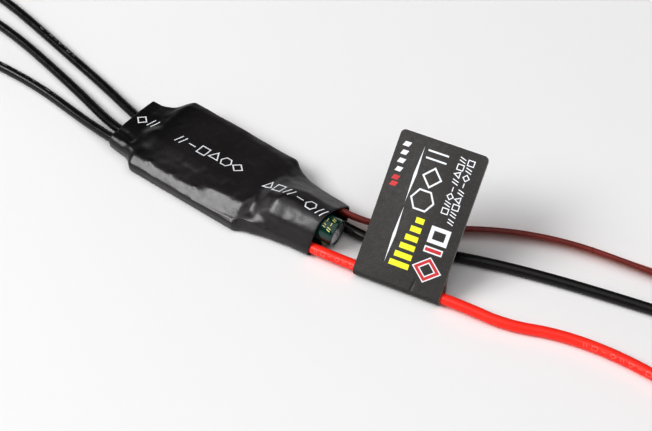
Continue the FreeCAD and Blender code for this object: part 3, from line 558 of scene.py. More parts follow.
# Round bodies that the film is stretched over, at stations along X, in millimetres. Each row is x,
# then the near foot, near edge, near brow, crown, far brow, far edge and far foot, each a centre
# (y, z) and a radius.
STATIONS = [
    (-24.6, (-6.3, 1.2, 0.8), (-6.0, 2.1, 1.25), (-5.9, 2.2, 1.25), (-2.6, 2.7, 1.1),
     (1.8, 2.95, 1.0), (5.05, 3.5, 0.42), (4.7, 1.0, 0.5)),
    (-22.4, (-6.4, 1.1, 0.9), (-6.2, 2.1, 1.28), (-5.9, 2.3, 1.25), (-2.6, 2.85, 1.15),
     (2.0, 3.1, 1.0), (5.1, 3.5, 0.45), (4.8, 1.0, 0.6)),
    (-20.6, (-6.5, 1.0, 0.9), (-6.4, 2.1, 1.2), (-5.9, 2.45, 1.25), (-2.6, 2.95, 1.2),
     (2.1, 3.3, 1.0), (5.5, 3.6, 0.5), (5.1, 0.9, 0.7)),
    (-19.4, (-6.9, 0.9, 0.9), (-6.9, 2.2, 0.95), (-6.3, 2.7, 1.1), (-2.6, 3.3, 1.1),
     (3.0, 3.6, 0.9), (6.5, 3.75, 0.5), (6.0, 0.8, 0.7)),
    (-18.5, (-7.8, 0.8, 0.8), (-8.1, 2.1, 0.5), (-6.8, 2.9, 0.8), (-2.6, 3.7, 1.0),
     (6.4, 3.95, 0.75), (8.4, 4.0, 0.42), (7.9, 0.8, 0.7)),
    (-17.9, (-8.45, 0.75, 0.75), (-8.85, 2.1, 0.45), (-7.5, 2.95, 0.6), (-2.6, 4.0, 0.9),
     (7.7, 4.15, 0.7), (9.35, 4.2, 0.35), (8.9, 0.75, 0.7)),
    (-15.8, (-8.5, 0.7, 0.7), (-8.9, 2.05, 0.45), (-7.5, 3.0, 0.6), (-2.6, 4.1, 0.8),
     (7.8, 4.15, 0.7), (9.35, 4.2, 0.3), (8.9, 0.7, 0.7)),
    (-5.5, (-8.5, 0.7, 0.7), (-8.9, 2.05, 0.45), (-7.45, 3.05, 0.6), (-2.6, 4.1, 0.8),
     (7.8, 4.15, 0.7), (9.35, 4.15, 0.3), (8.9, 0.7, 0.7)),
    (-2.6, (-8.5, 0.7, 0.7), (-8.9, 2.0, 0.45), (-7.1, 3.3, 0.6), (-2.6, 4.1, 0.8),
     (7.8, 4.15, 0.7), (9.3, 4.1, 0.3), (8.9, 0.7, 0.7)),
    (0.2, (-8.5, 0.7, 0.7), (-8.9, 1.95, 0.45), (-6.0, 3.9, 0.65), (-2.6, 4.15, 0.8),
     (7.6, 4.15, 0.7), (9.3, 4.05, 0.3), (8.9, 0.7, 0.7)),
    (7.5, (-8.5, 0.7, 0.7), (-8.9, 1.9, 0.45), (-5.5, 4.1, 0.65), (-2.4, 4.25, 0.8),
     (7.0, 4.15, 0.7), (9.3, 3.9, 0.3), (8.9, 0.7, 0.7)),
    (8.3, (-7.5, 0.9, 0.9), (-7.2, 2.6, 0.75), (-4.8, 3.3, 0.9), (-1.8, 4.2, 1.1),
     (5.6, 4.1, 0.8), (8.5, 3.6, 0.4), (8.2, 0.8, 0.75)),
    (10.2, (-7.0, 0.9, 0.9), (-6.6, 2.5, 0.85), (-4.1, 3.2, 1.4), (-1.7, 4.1, 2.25),
     (3.0, 4.1, 1.4), (7.2, 3.3, 0.7), (7.0, 1.0, 0.9)),
    (13.0, (-6.0, 1.1, 1.1), (-5.9, 1.9, 1.15), (-3.7, 3.6, 2.2), (-1.5, 4.1, 3.1),
     (0.8, 3.9, 2.7), (6.05, 3.2, 0.95), (5.8, 1.1, 1.1)),
    (17.5, (-5.1, 1.15, 1.15), (-5.0, 1.65, 1.2), (-3.1, 3.15, 2.3), (-0.9, 3.7, 3.15),
     (1.4, 3.6, 2.7), (5.55, 3.2, 1.05), (5.3, 1.2, 1.2)),
    (21.9, (-4.6, 1.3, 1.25), (-4.5, 1.55, 1.25), (-2.5, 2.8, 2.4), (-0.4, 3.45, 3.2),
     (1.7, 3.3, 2.8), (5.2, 3.1, 1.15), (4.9, 1.4, 1.2)),
]


def section_outline(bodies, count):
    """The film's outline round a station's bodies, from under the middle, evenly spaced by arc."""
    angles = [TAU * k / BODY_POINTS for k in range(BODY_POINTS)]
    loop = hull([(y + r * math.cos(a), z + r * math.sin(a)) for y, z, r in bodies for a in angles])
    middle = 0.5 * (loop[:, 0].min() + loop[:, 0].max())
    following = np.roll(loop, -1, axis=0)
    under = [k for k in range(len(loop)) if loop[k, 0] <= middle < following[k, 0]][0]
    share = (middle - loop[under, 0]) / (following[under, 0] - loop[under, 0])
    start = loop[under] + share * (following[under] - loop[under])
    path = np.vstack([start, np.roll(loop, -under - 1, axis=0), start])
    along = np.concatenate([[0], np.cumsum(np.linalg.norm(np.diff(path, axis=0), axis=1))])
    places = np.linspace(0, along[-1], count + 1)[:-1]
    return np.stack([np.interp(places, along, path[:, axis]) for axis in (0, 1)], axis=1)


def relaxed(values, spread, axis, wrap):
    """Values smoothed along one axis of a grid by a bell of that spread in steps; open ends stay."""
    reach = int(3 * spread) + 1
    bell = np.exp(-0.5 * (np.arange(-reach, reach + 1) / spread) ** 2)
    bell /= bell.sum()
    moved = np.moveaxis(values, axis, 0)
    if wrap:
        padded = np.concatenate([moved[-reach:], moved, moved[:reach]])
    else:
        before, after = 2 * moved[0] - moved[reach:0:-1], 2 * moved[-1] - moved[-2:-reach - 2:-1]
        padded = np.concatenate([before, moved, after])
    out = sum(weight * padded[k:k + len(moved)] for k, weight in enumerate(bell))
    return np.moveaxis(out, 0, axis)


def soft_box(x, y, left, right, low, high, edge):
    """1 inside a rectangle, falling smoothly to 0 over the edge."""
    def ramp(value):
        share = np.clip(value / edge + 0.5, 0, 1)
        return share * share * (3 - 2 * share)
    return ramp(x - left) * ramp(right - x) * ramp(y - low) * ramp(high - y)


def blob(x, y, at_x, at_y, width, height=None, turn=0.0):
    c, s = math.cos(turn), math.sin(turn)
    u, v = (x - at_x) * c + (y - at_y) * s, -(x - at_x) * s + (y - at_y) * c
    return np.exp(-((u / width) ** 2 + (v / (height or width)) ** 2))


def groove(x, y, points, width):
    """1 along a line in plan, falling off to its sides and fading at its ends."""
    best = np.zeros_like(x)
    for (ax, ay), (bx, by) in zip(points, points[1:]):
        long = math.hypot(bx - ax, by - ay)
        share = np.clip(((x - ax) * (bx - ax) + (y - ay) * (by - ay)) / long**2, 0, 1)
        away = np.hypot(x - ax - share * (bx - ax), y - ay - share * (by - ay))
        best = np.maximum(best, np.exp(-(away / width) ** 2))
    return best


def film_relief(x, y, z):
    """How far the film stands out over its stretched shape, in millimetres."""
    top = np.clip((z - 2.6) / 0.8, 0, 1)
    relief = -0.07 * soft_box(x, y, -16.5, 7.0, -7.6, 7.8, 1.6)
    for column in (-11.7, -6.4, -1.1):
        for low, high in ((2.95, 6.85), (-4.45, -0.55)):
            relief += 0.075 * soft_box(x, y, column - 2.2, column + 2.2, low, high, 1.3)
    relief += 0.09 * soft_box(x, y, 1.9, 4.9, -6.4, -3.9, 1.2)
    relief += 0.16 * blob(x, y, 3.4, 5.2, 1.5, 1.1) + 0.10 * blob(x, y, 5.0, -1.6, 1.1, 1.5)
    relief -= 0.12 * blob(x, y, 3.4, 2.6, 2.0, 0.8)
    relief += 0.12 * blob(x, y, -15.3, 6.2, 1.2, 1.6) - 0.10 * blob(x, y, -15.4, 3.2, 1.0, 1.0)
    for at in (-13.9, -8.6, -3.0):
        relief += 0.14 * blob(x, y, at, -7.35, 0.75, 0.4)
    relief += 0.16 * blob(x, y, -18.6, -2.0, 1.6, 1.2, 0.6) - 0.14 * blob(x, y, -18.2, 0.4, 1.6, 1.0)
    relief -= 0.16 * blob(x, y, -17.0, -5.6, 1.8, 1.0, 0.4)
    relief -= 0.30 * groove(x, y, [(-25.5, -4.5), (-22.5, -4.6), (-20.6, -5.2)], 0.75)
    relief = relief * top
    relief += 0.14 * blob(x, y, 8.0, -4.3, 1.3, 0.9)
    relief -= 0.34 * blob(x, y, 8.8, -6.0, 1.3, 1.6) * np.clip((z - 1.6) / 0.8, 0, 1)
    crease = [(-2.4, -9.15), (2.5, -8.95), (7.0, -8.6), (9.0, -7.6), (13.2, -6.8)]
    relief += 0.08 * groove(x, y, crease, 0.14) * np.clip((z - 1.6) / 0.6, 0, 1)
    valley = [(9.8, -6.3), (13.5, -5.8), (17.6, -5.1), (21.9, -4.5)]
    over, past = np.clip((z - 2.0) / 0.6, 0, 1), np.clip((x - 8.5) / 3.5, 0, 1)
    relief -= 0.24 * groove(x, y, valley, 0.8) * over * past
    return relief


def film_wrinkles(place):
    """Slow unevenness of shrunk film, in millimetres."""
    slow = noise.noise(Vector((place[0] * 0.22, place[1] * 0.3, place[2] * 0.3 + 7.0)))
    finer = noise.noise(Vector((place[0] * 0.55 + 3.0, place[1] * 0.7, place[2] * 0.7)))
    return 0.09 * slow + 0.045 * finer


def sleeve_grid():
    """The film's outer face in millimetres: rings along X by points round the section."""
    xs = [row[0] for row in STATIONS]
    outlines = np.array([section_outline(row[1:], AROUND) for row in STATIONS])
    fine = np.linspace(xs[0], xs[-1], ALONG)
    grid = np.zeros((ALONG, AROUND, 3))
    grid[:, :, 0] = fine[:, None]
    for point in range(AROUND):
        for axis in (0, 1):
            grid[:, point, axis + 1] = np.interp(fine, xs, outlines[:, point, axis])
    grid[:, :, 1:] = relaxed(grid[:, :, 1:], 1.7, 0, False)
    grid[:, :, 1:] = relaxed(grid[:, :, 1:], 1.2, 1, True)
    return grid


def grid_normals(grid):
    along = np.gradient(grid, axis=0)
    around = np.roll(grid, -1, axis=1) - np.roll(grid, 1, axis=1)
    normals = np.cross(around, along)
    normals /= np.linalg.norm(normals, axis=2, keepdims=True)
    outward = (normals * (grid - grid.mean(axis=1, keepdims=True))).sum()
    return normals if outward > 0 else -normals


def add_sleeve():
    grid = sleeve_grid()
    normals = grid_normals(grid)
    relief = film_relief(grid[:, :, 0], grid[:, :, 1], grid[:, :, 2])
    wrinkles = np.array([[film_wrinkles(p) for p in ring] for ring in grid])
    relief += wrinkles * np.clip(grid[:, :, 2] / 0.8, 0, 1)
    outer = grid + normals * np.clip(relief, -RELIEF_LIMIT, RELIEF_LIMIT)[:, :, None]
    outer[:, :, 2] = np.maximum(outer[:, :, 2], 0.0)
    normals = grid_normals(outer)
    wall = WALL / MM
    rings = [outer[i] for i in range(ALONG)]
    lips = []
    for end, out in ((-1, 1.0), (0, -1.0)):
        lip = []
        for step in (1, 2, 3):
            angle = math.pi * step / 4
            shift = wall / 2 * (1 - math.cos(angle))
            lip.append(outer[end] - normals[end] * shift + np.array([out * wall / 2 * math.sin(angle), 0, 0]))
        lips.append(lip)
    inner = [outer[i] - normals[i] * wall for i in range(ALONG - 1, -1, -INNER_STEP)]
    rings = rings + lips[0] + inner + lips[1][::-1]
    vertices = np.concatenate(rings) * MM
    faces = grid_faces(len(rings), AROUND, wrap_rows=True)
    data = mesh_from("shrink_sleeve", vertices, faces)
    return add_piece("shrink_sleeve", data, "shrink_sleeve", ("heat_shrink_sleeve",))


sleeve = add_sleeve()

# ---------------- printed marks


def mark_strip(points, width, closed=False):
    """Four-cornered patches along a line of that width, mitred where it turns."""
    places = [np.array(point, float) for point in points]
    count = len(places)
    left, right = [], []
    for index, place in enumerate(places):
        if closed or 0 < index < count - 1:
            before = place - places[index - 1]
            after = places[(index + 1) % count] - place
        else:
            before = after = places[1] - place if index == 0 else place - places[-2]
        before, after = before / np.linalg.norm(before), after / np.linalg.norm(after)
        mitre = np.array([-(before + after)[1], (before + after)[0]])
        mitre /= np.linalg.norm(mitre)
        mitre *= width / 2 / (mitre @ np.array([-after[1], after[0]]))
        left.append(place + mitre)
        right.append(place - mitre)
    last = count if closed else count - 1
    return [(left[k], left[(k + 1) % count], right[(k + 1) % count], right[k]) for k in range(last)]


def mark_ring(at_u, at_v, long, high, sides, turn, width):
    """A closed outline with that many sides."""
    corners = []
    for k in range(sides):
        angle = math.radians(turn) + TAU * k / sides
        corners.append((at_u + long / 2 * math.cos(angle), at_v + high / 2 * math.sin(angle)))
    return mark_strip(corners, width, closed=True)


def mark_bars(at_u, at_v, long, high, count, slant, width):
    """Upright bars side by side, leaning by slant."""
    bars = []
    for k in range(count):
        u = at_u + long * ((k + 0.5) / count - 0.5)
        bars += mark_strip([(u - slant / 2, at_v - high / 2), (u + slant / 2, at_v + high / 2)], width)
    return bars


# Signs with one closed outline: sides, turn in degrees, and stretch along and across the row
RING_SIGNS = {
    "square": (4, 45, 1.3, 1.38),
    "diamond": (4, 0, 1.1, 1.0),
    "triangle": (3, 90, 1.15, 1.15),
    "hexagon": (6, 0, 1.1, 1.1),
}


def mark_row(kinds, start, end, high, width, fill=0.78):
    """Small signs at even steps from start to end."""
    patches = []
    pitch = (np.array(end, float) - np.array(start, float)) / max(len(kinds) - 1, 1)
    long = np.linalg.norm(pitch) * fill if len(kinds) > 1 else high * 0.8
    for index, kind in enumerate(kinds):
        u, v = np.array(start, float) + pitch * index
        if kind in RING_SIGNS:
            sides, turn, wider, taller = RING_SIGNS[kind]
            patches += mark_ring(u, v, long * wider, high * taller, sides, turn, width)
        elif kind == "bars":
            patches += mark_bars(u, v, long, high, 2, high * 0.3, width)
        elif kind == "dash":
            patches += mark_strip([(u - long * 0.4, v), (u + long * 0.4, v)], width)
    return patches


# Patches that cross stand at three slightly different heights, in millimetres
INK_STEP = 0.002


def add_marks(name, patches, place_at, material, slot, rise, sink, cell, body="controller"):
    """Thin closed patches of ink; place_at turns (u, v, rise) in millimetres into a point in metres."""
    vertices, faces = [], []
    for index, patch in enumerate(patches):
        a, b, c, d = (np.array(corner, float) for corner in patch)
        columns = 2 + int(max(np.linalg.norm(b - a), np.linalg.norm(c - d)) / cell)
        rows = 2 + int(max(np.linalg.norm(d - a), np.linalg.norm(c - b)) / cell)
        first = len(vertices)
        for lift in (rise + INK_STEP * (index % 3), -sink):
            for i in range(rows):
                for j in range(columns):
                    s, t = j / (columns - 1), i / (rows - 1)
                    spot = (1 - t) * ((1 - s) * a + s * b) + t * ((1 - s) * d + s * c)
                    vertices.append(place_at(spot[0], spot[1], lift))
        size = rows * columns
        for layer in (0, size):
            for face in grid_faces(rows, columns, wrap_columns=False):
                faces.append(tuple(first + layer + k for k in face))
        faces += wall_faces(grid_rim(rows, columns), first, size)
    data = mesh_from(name, vertices, faces)
    data.set_sharp_from_angle(angle=SHARP_ANGLE)
    return add_piece(name, data, slot, body=body, material=material)


SLEEVE_SIGNS = (
    (("diamond", "bars"), (-22.6, -0.15), (-20.0, 0.15)),
    (("bars", "dash", "square", "triangle", "hexagon", "diamond"), (-12.6, -0.25), (0.6, 0.45)),
    (("triangle", "square", "bars", "dash", "hexagon", "bars"), (8.4, 0.05), (20.9, -0.3)),
)
SIGN_HIGH = 2.0
SIGN_STROKE = 0.27


def add_sleeve_marks():
    corners = [vertex.co for vertex in sleeve.data.vertices]
    tree = BVHTree.FromPolygons(corners, [polygon.vertices for polygon in sleeve.data.polygons])

    def place_at(u, v, rise):
        spot, normal, _, _ = tree.ray_cast(Vector((u, v, 20.0)) * MM, Vector((0, 0, -1)))
        return spot + normal * (rise * MM)

    patches = []
    for kinds, start, end in SLEEVE_SIGNS:
        patches += mark_row(kinds, start, end, SIGN_HIGH, SIGN_STROKE)
    add_marks(
        "sleeve_marks", patches, place_at, WHITE_INK, "shrink_sleeve", rise=0.012, sink=0.04, cell=0.2
    )


add_sleeve_marks()

# ---------------- electrolytic capacitor

CAN_RADIUS = 2.5
CAN_LONG = 11.0
FILM_RADIUS = 2.7
VENT_DEPTH = 0.1
VENT_WIDTH = 0.13
VENT_REACH = 1.9
END_FLAT = 2.0
END_THICK = 0.25
END_DOME = 0.05
CAN_HEADING = 7.5
CAN_LEAN = 96.0
CAPACITOR_PLACE = (
    Matrix.Translation((0.02415, 0.0, 0.0030))
    @ Matrix.Rotation(math.radians(CAN_HEADING), 4, "Z")
    @ Matrix.Rotation(math.radians(CAN_LEAN), 4, "Y")
)


def placed(place, point):
    return place @ (Vector(point) * MM)


def vent_depth(x, y):
    """Depth of the scored cross in the can's closed end."""
    away = min(abs(x * 0.87 + y * 0.5), abs(x * 0.5 - y * 0.87))
    return VENT_DEPTH * math.exp(-(away / VENT_WIDTH) ** 2) * (math.hypot(x, y) < VENT_REACH)


def add_capacitor():
    across = [(END_FLAT * k / 40, 0.0) for k in range(41)]
    wall = [
        (END_FLAT, 0.0), (CAN_RADIUS, 0.0), (CAN_RADIUS, -CAN_LONG), (2.25, -CAN_LONG), (2.25, -END_THICK),
        (1.8, -END_THICK),
    ]
    outline = across + eased(wall, 0.22, closed=False)[1:] + [(0.0, -END_THICK)]
    can = turned("capacitor_can_shell", outline, 120)
    for vertex in can.vertices:
        if vertex.co.z > -0.01:
            dome = END_DOME * (1 - (vertex.co.xy.length / END_FLAT) ** 2)
            vertex.co.z += dome - vent_depth(vertex.co.x, vertex.co.y)
        vertex.co = placed(CAPACITOR_PLACE, vertex.co)
    add_piece("capacitor_can_shell", can, "can", ("capacitor_can",))
    profile = [
        (2.13, 0.02), (2.13, 0.17), (2.62, 0.17), (FILM_RADIUS, -0.35), (FILM_RADIUS, -CAN_LONG - 0.2),
        (2.05, -CAN_LONG - 0.2), (2.05, -CAN_LONG), (CAN_RADIUS, -CAN_LONG), (CAN_RADIUS, -0.25), (2.3, 0.02),
    ]
    film = turned("capacitor_film_skin", eased(profile, 0.26), 120)
    for vertex in film.vertices:
        angle = math.atan2(vertex.co.y, vertex.co.x)
        if vertex.co.z > -0.1 and vertex.co.xy.length < 2.3:
            drawn_in = 1 + 0.018 * math.sin(3 * angle + 1) + 0.012 * math.sin(7 * angle)
            vertex.co.x *= drawn_in
            vertex.co.y *= drawn_in
        vertex.co = placed(CAPACITOR_PLACE, vertex.co)
    add_piece("capacitor_film_skin", film, "capacitor_film", ("capacitor_vinyl_sleeve",))

    def place_at(u, v, rise):
        angle, radius = u / FILM_RADIUS, FILM_RADIUS + rise
        return placed(CAPACITOR_PLACE, (-radius * math.cos(angle), -radius * math.sin(angle), v))

    patches = mark_row(("bars", "dash", "bars"), (-0.2, -0.95), (1.9, -0.95), 0.75, 0.2)
    patches += mark_row(("dash", "bars"), (0.3, -2.0), (1.5, -2.0), 0.5, 0.17)
    patches += mark_row(("bars", "dash", "bars"), (5.4, -1.2), (8.0, -1.2), 0.9, 0.2)
    patches += mark_strip([(-5.2, -0.7), (-5.2, -10.4)], 1.2)
    add_marks(
        "capacitor_marks", patches, place_at, GOLD_INK, "capacitor_film", rise=0.012, sink=0.05, cell=0.25
    )


add_capacitor()

# ---------------- card tag

TAG_WIDTH = 16.5
TAG_REACH = 25.5
TAG_CORNER = 0.9
FOLD_OUTER = 1.48
TAG_CREASE = 0.72
CARD_THICK = 0.24
TAG_BACK = -0.98
TAG_NECK = 4.2
TAG_HEADING = 11.4
TAG_RISE = 43.6
TAG_PLACE = (
    Matrix.Translation((0.03898, -0.00130, 0.0015))
    @ Matrix.Rotation(math.radians(TAG_HEADING), 4, "Z")
    @ Matrix.Rotation(math.radians(TAG_RISE - 90.0), 4, "X")
)


def card_bow(x, z):
    """How far the card's face leaves its plane, in millimetres: a slow bow and one small crease."""
    free = min(max(z / 10.0, 0.0), 1.0)
    crease = -0.07 * math.exp(-((x - 2.9 - 0.12 * z) / 0.14) ** 2) * min(max((1.6 - z) / 1.0, 0.0), 1.0)
    return free * (0.10 * math.sin(0.13 * z + 0.2 * x) + 0.05 * math.sin(0.42 * x + 1.0)) + crease


def half_width(z):
    """Half the card's width at a height, less where its top corners are rounded."""
    over = z - (TAG_REACH - TAG_CORNER)
    if over <= 0:
        return TAG_WIDTH / 2
    return TAG_WIDTH / 2 - TAG_CORNER + math.sqrt(max(TAG_CORNER**2 - over**2, 0.0))


def tag_path():
    """The strip's outer line: down the front leaf, creased, round the lead, and up the back leaf."""
    heights = [TAG_REACH - TAG_CORNER * (1 - math.cos(TAU / 4 * k / 8)) for k in range(8)]
    heights += [float(h) for h in np.linspace(TAG_REACH - TAG_CORNER, 0.6, 60)]
    path = [(-FOLD_OUTER, h, -1.0, 0.0) for h in heights]
    path += [(-FOLD_OUTER, h, -1.0, 0.0) for h in (0.2, -0.2, -0.5, -TAG_CREASE + 0.12)]
    turn = 2 * math.atan2(TAG_CREASE, FOLD_OUTER)
    corner, foot = (-FOLD_OUTER, -TAG_CREASE), (-FOLD_OUTER * math.cos(turn), -FOLD_OUTER * math.sin(turn))
    for share in (0.0, 0.17, 0.5, 0.83):
        bend = turn * (0.5 if share == 0.0 else 1.0)
        y, z = (c + (f - c) * share for c, f in zip(corner, foot))
        path.append((y, z, -math.cos(bend), -math.sin(bend)))
    touch = math.atan2(TAG_NECK, TAG_BACK) - math.acos(FOLD_OUTER / math.hypot(TAG_NECK, TAG_BACK))
    for k in range(29):
        angle = math.pi + turn + (math.pi + touch - turn) * k / 28
        out_y, out_z = math.cos(angle), math.sin(angle)
        path.append((FOLD_OUTER * out_y, FOLD_OUTER * out_z, out_y, out_z))
    start = path[-1]
    for k in range(1, 12):
        share = k / 12
        ease = share * share * (3 - 2 * share)
        y = start[0] + (TAG_BACK - start[0]) * (0.7 * share + 0.3 * ease)
        path.append((y, start[1] + (TAG_NECK - start[1]) * share, start[2], start[3]))
    path += [(TAG_BACK, h, 1.0, 0.0) for h in [TAG_NECK] + heights[::-1] if h >= TAG_NECK]
    return path


def add_tag():
    columns = 100
    path = tag_path()
    vertices = []
    for depth in (0.0, CARD_THICK):
        for y, z, out_y, out_z in path:
            half = half_width(z)
            for column in range(columns + 1):
                x = half * (2 * column / columns - 1)
                vertices.append(placed(TAG_PLACE, (x, y - out_y * depth - card_bow(x, z), z - out_z * depth)))
    rows, wide = len(path), columns + 1
    size = rows * wide
    outer = grid_faces(rows, wide, wrap_columns=False)
    faces = outer + [tuple(size + k for k in face) for face in outer]
    faces += wall_faces(grid_rim(rows, wide), 0, size)
    data = mesh_from("card_tag", vertices, faces)
    data.set_sharp_from_angle(angle=SHARP_ANGLE)
    tag = add_piece("card_tag", data, "tag_card", ("label_tag",), body="tag")
    data.materials.append(CARD_CORE)
    for polygon in data.polygons[len(outer):]:
        polygon.material_index = 1
    return tag


def tag_corner(a, b):
    """A place on the card from its left and top edges, both as shares of its size, in millimetres."""
    return (a - 0.5) * TAG_WIDTH, (1 - b) * TAG_REACH


def tag_block(left, right, top, bottom, slant=0.0):
    """A filled block, its top edge shifted by slant."""
    return [(
        tag_corner(left + slant, top), tag_corner(right + slant, top),
        tag_corner(right, bottom), tag_corner(left, bottom),
    )]


def tag_ring(left, right, top, bottom, sides, turn, width):
    (low_u, high_v), (high_u, low_v) = tag_corner(left, top), tag_corner(right, bottom)
    middle = ((low_u + high_u) / 2, (low_v + high_v) / 2)
    return mark_ring(*middle, high_u - low_u, high_v - low_v, sides, turn, width)


def tag_signs(kinds, a, first, last, high, width):
    """A row of small signs that runs up the card."""
    turned_up = []
    for patch in mark_row(kinds, (0.0, 0.0), ((first - last) * TAG_REACH, 0.0), high, width):
        at_u, at_v = tag_corner(a, first)
        turned_up.append(tuple((at_u - v, at_v + u) for u, v in patch))
    return turned_up


def add_tag_marks():
    white, yellow, red = [], [], []
    for index, top in enumerate((0.075, 0.135, 0.195, 0.255)):
        white += tag_block(0.062 + 0.006 * (index % 2), 0.135, top, top + 0.034, 0.022)
    for top in (0.315, 0.360):
        red += tag_block(0.062, 0.135, top, top + 0.034, 0.022)
    for top, bottom in ((0.067, 0.470), (0.500, 0.906)):
        middle = (top + bottom) / 2
        white.append((
            tag_corner(0.303, top), tag_corner(0.320, middle),
            tag_corner(0.297, bottom), tag_corner(0.284, middle),
        ))
    for index, top in enumerate((0.865, 0.800, 0.735, 0.670, 0.605, 0.540)):
        yellow += tag_block(0.345 + 0.026 * index, 0.572, top, top + 0.040)
    white += tag_ring(0.342, 0.600, 0.345, 0.500, 6, 0, 0.34)
    white += tag_ring(0.390, 0.595, 0.190, 0.325, 4, 0, 0.34)
    white += tag_block(0.352, 0.588, 0.130, 0.143) + tag_block(0.352, 0.588, 0.078, 0.091)
    white += tag_ring(0.640, 0.890, 0.790, 0.925, 4, 0, 0.95) + tag_block(0.66, 0.87, 0.700, 0.745)
    red += tag_ring(0.640, 0.890, 0.790, 0.925, 4, 0, 0.5) + tag_block(0.675, 0.855, 0.711, 0.734)
    white += tag_ring(0.650, 0.900, 0.555, 0.680, 4, 45, 0.75)
    small = ("square", "bars", "diamond", "dash", "bars", "triangle", "square", "bars")
    white += tag_signs(small, 0.742, 0.440, 0.075, 1.15, 0.21)
    white += tag_signs(("bars",) + small[::-1], 0.838, 0.500, 0.080, 1.15, 0.21)

    def place_at(u, v, rise):
        return placed(TAG_PLACE, (u, -FOLD_OUTER - card_bow(u, v) - rise, v))

    made = []
    for name, patches, material, rise in (
        ("white", white, WHITE_INK, 0.012),
        ("yellow", yellow, YELLOW_INK, 0.012),
        ("red", red, RED_INK, 0.024),
    ):
        made.append(add_marks(
            f"tag_marks_{name}", patches, place_at, material, "tag_card", rise,
            sink=0.05, cell=0.5, body="tag",
        ))
    return made


tag_pieces = [add_tag()] + add_tag_marks()

# ---------------- marks along the leads


def along_cord(cord, radius, turn):
    """Turns distance along a cord and distance round it from its upper side into points."""
    line = centreline(cord)
    steps = [0.0]
    for before, after in zip(line, line[1:]):
        steps.append(steps[-1] + (after - before).length)

    def place_at(u, v, rise):
        distance = u * MM
        index = min(max(int(np.searchsorted(steps, distance)) - 1, 0), len(line) - 2)
        share = (distance - steps[index]) / (steps[index + 1] - steps[index])
        heading = (line[index + 1] - line[index]).normalized()
        side = Vector((heading.y, -heading.x, 0)).normalized()
        upward = side.cross(heading)
        if upward.z < 0:
            upward = -upward
        angle = math.radians(turn) + v * MM / radius
        out = upward * math.cos(angle) + side * math.sin(angle)
        return line[index].lerp(line[index + 1], share) + out * (radius + rise * MM)

    return place_at


CORD_SIGNS = {
    "motor_lead_a": (MOTOR_LEAD_RADIUS, PALE_INK, 20, ((30.0, 41.0),)),
    "motor_lead_b": (MOTOR_LEAD_RADIUS, PALE_INK, 70, ((14.0, 24.0), (48.0, 58.0))),
    "motor_lead_c": (MOTOR_LEAD_RADIUS, PALE_INK, 30, ((24.0, 38.0),)),
    "battery_lead_positive": (BATTERY_LEAD_RADIUS, PINK_INK, 55, ((14.5, 24.5), (65.0, 77.0))),
    "battery_lead_negative": (BATTERY_LEAD_RADIUS, PALE_INK, 250, ((40.0, 54.0), (78.0, 92.0))),
}


def add_cord_marks():
    made = {}
    for node, (radius, ink_used, turn, spans) in CORD_SIGNS.items():
        patches = []
        for start, end in spans:
            kinds = ("bars", "square", "dash", "diamond", "bars", "triangle", "dash", "square")
            patches += mark_row(kinds, (start, 0.0), (end, 0.0), 0.75, 0.13, 0.62)
        place_at = along_cord(cords[node], radius, turn)
        slot = "lead_red" if node.endswith("positive") else "lead_black"
        made[node] = add_marks(
            f"{node}_marks", patches, place_at, ink_used, slot, rise=0.008, sink=0.05, cell=0.2
        )
    return made


cord_marks = add_cord_marks()

# ---------------- ends of the leads


SWELL_SEED = 17


def end_place(route):
    """A frame at a route's end, with its +Z along the last run."""
    tip, before = Vector(route[-1]), Vector(route[-2])
    return Matrix.Translation(tip) @ (tip - before).to_track_quat("Z", "Y").to_matrix().to_4x4()


def add_bullet(end, route):
    """A gold bullet socket and the shrunk tube over it."""
    place = end_place(route)
    outline = eased([(1.1, 0.0), (1.5, 0.0), (1.5, 11.5), (1.0, 11.5), (1.0, 5.0)], 0.14, closed=False)
    outline = [(0.0, 4.0), (1.1, 4.0)] + outline + [(0.0, 4.6)]
    socket = turned(f"bullet_socket_{end}", outline, 72)
    for vertex in socket.vertices:
        vertex.co = placed(place, vertex.co)
    socket.set_sharp_from_angle(angle=math.radians(50))
    gold = add_piece(f"bullet_socket_{end}", socket, "gold", (f"bullet_connector_{end}",))
    profile = [
        (0.9, -3.0), (1.25, -3.0), (1.27, -1.5), (1.72, -0.25), (1.85, 0.8), (1.84, 5.0), (1.85, 10.9),
        (1.5, 10.9), (1.5, 0.1), (0.93, -1.3),
    ]
    cover = turned(f"bullet_cover_{end}", eased(profile, 0.3), 72)
    for vertex in cover.vertices:
        radius = vertex.co.xy.length
        if radius > 1.2:
            swell = 1 + 0.016 * noise.noise(vertex.co * 0.9 + Vector((SWELL_SEED, ord(end), 0)))
            vertex.co.x *= swell
            vertex.co.y *= swell
        vertex.co = placed(place, vertex.co)
    skin = add_piece(f"bullet_cover_{end}", cover, "connector_sleeve", (f"bullet_sleeve_{end}",))
    return [gold, skin]


# Tinned strands: how many, their bundle in millimetres, its twist in radians per millimetre
STRAND_COUNT = 11
BUNDLE_LONG = 5.0
BUNDLE_RADIUS = 0.63
BUNDLE_TWIST = 0.55
BUNDLE_SUNK = -0.15
TIP_HIGH = 0.4
LOBE_DEEP = 0.13


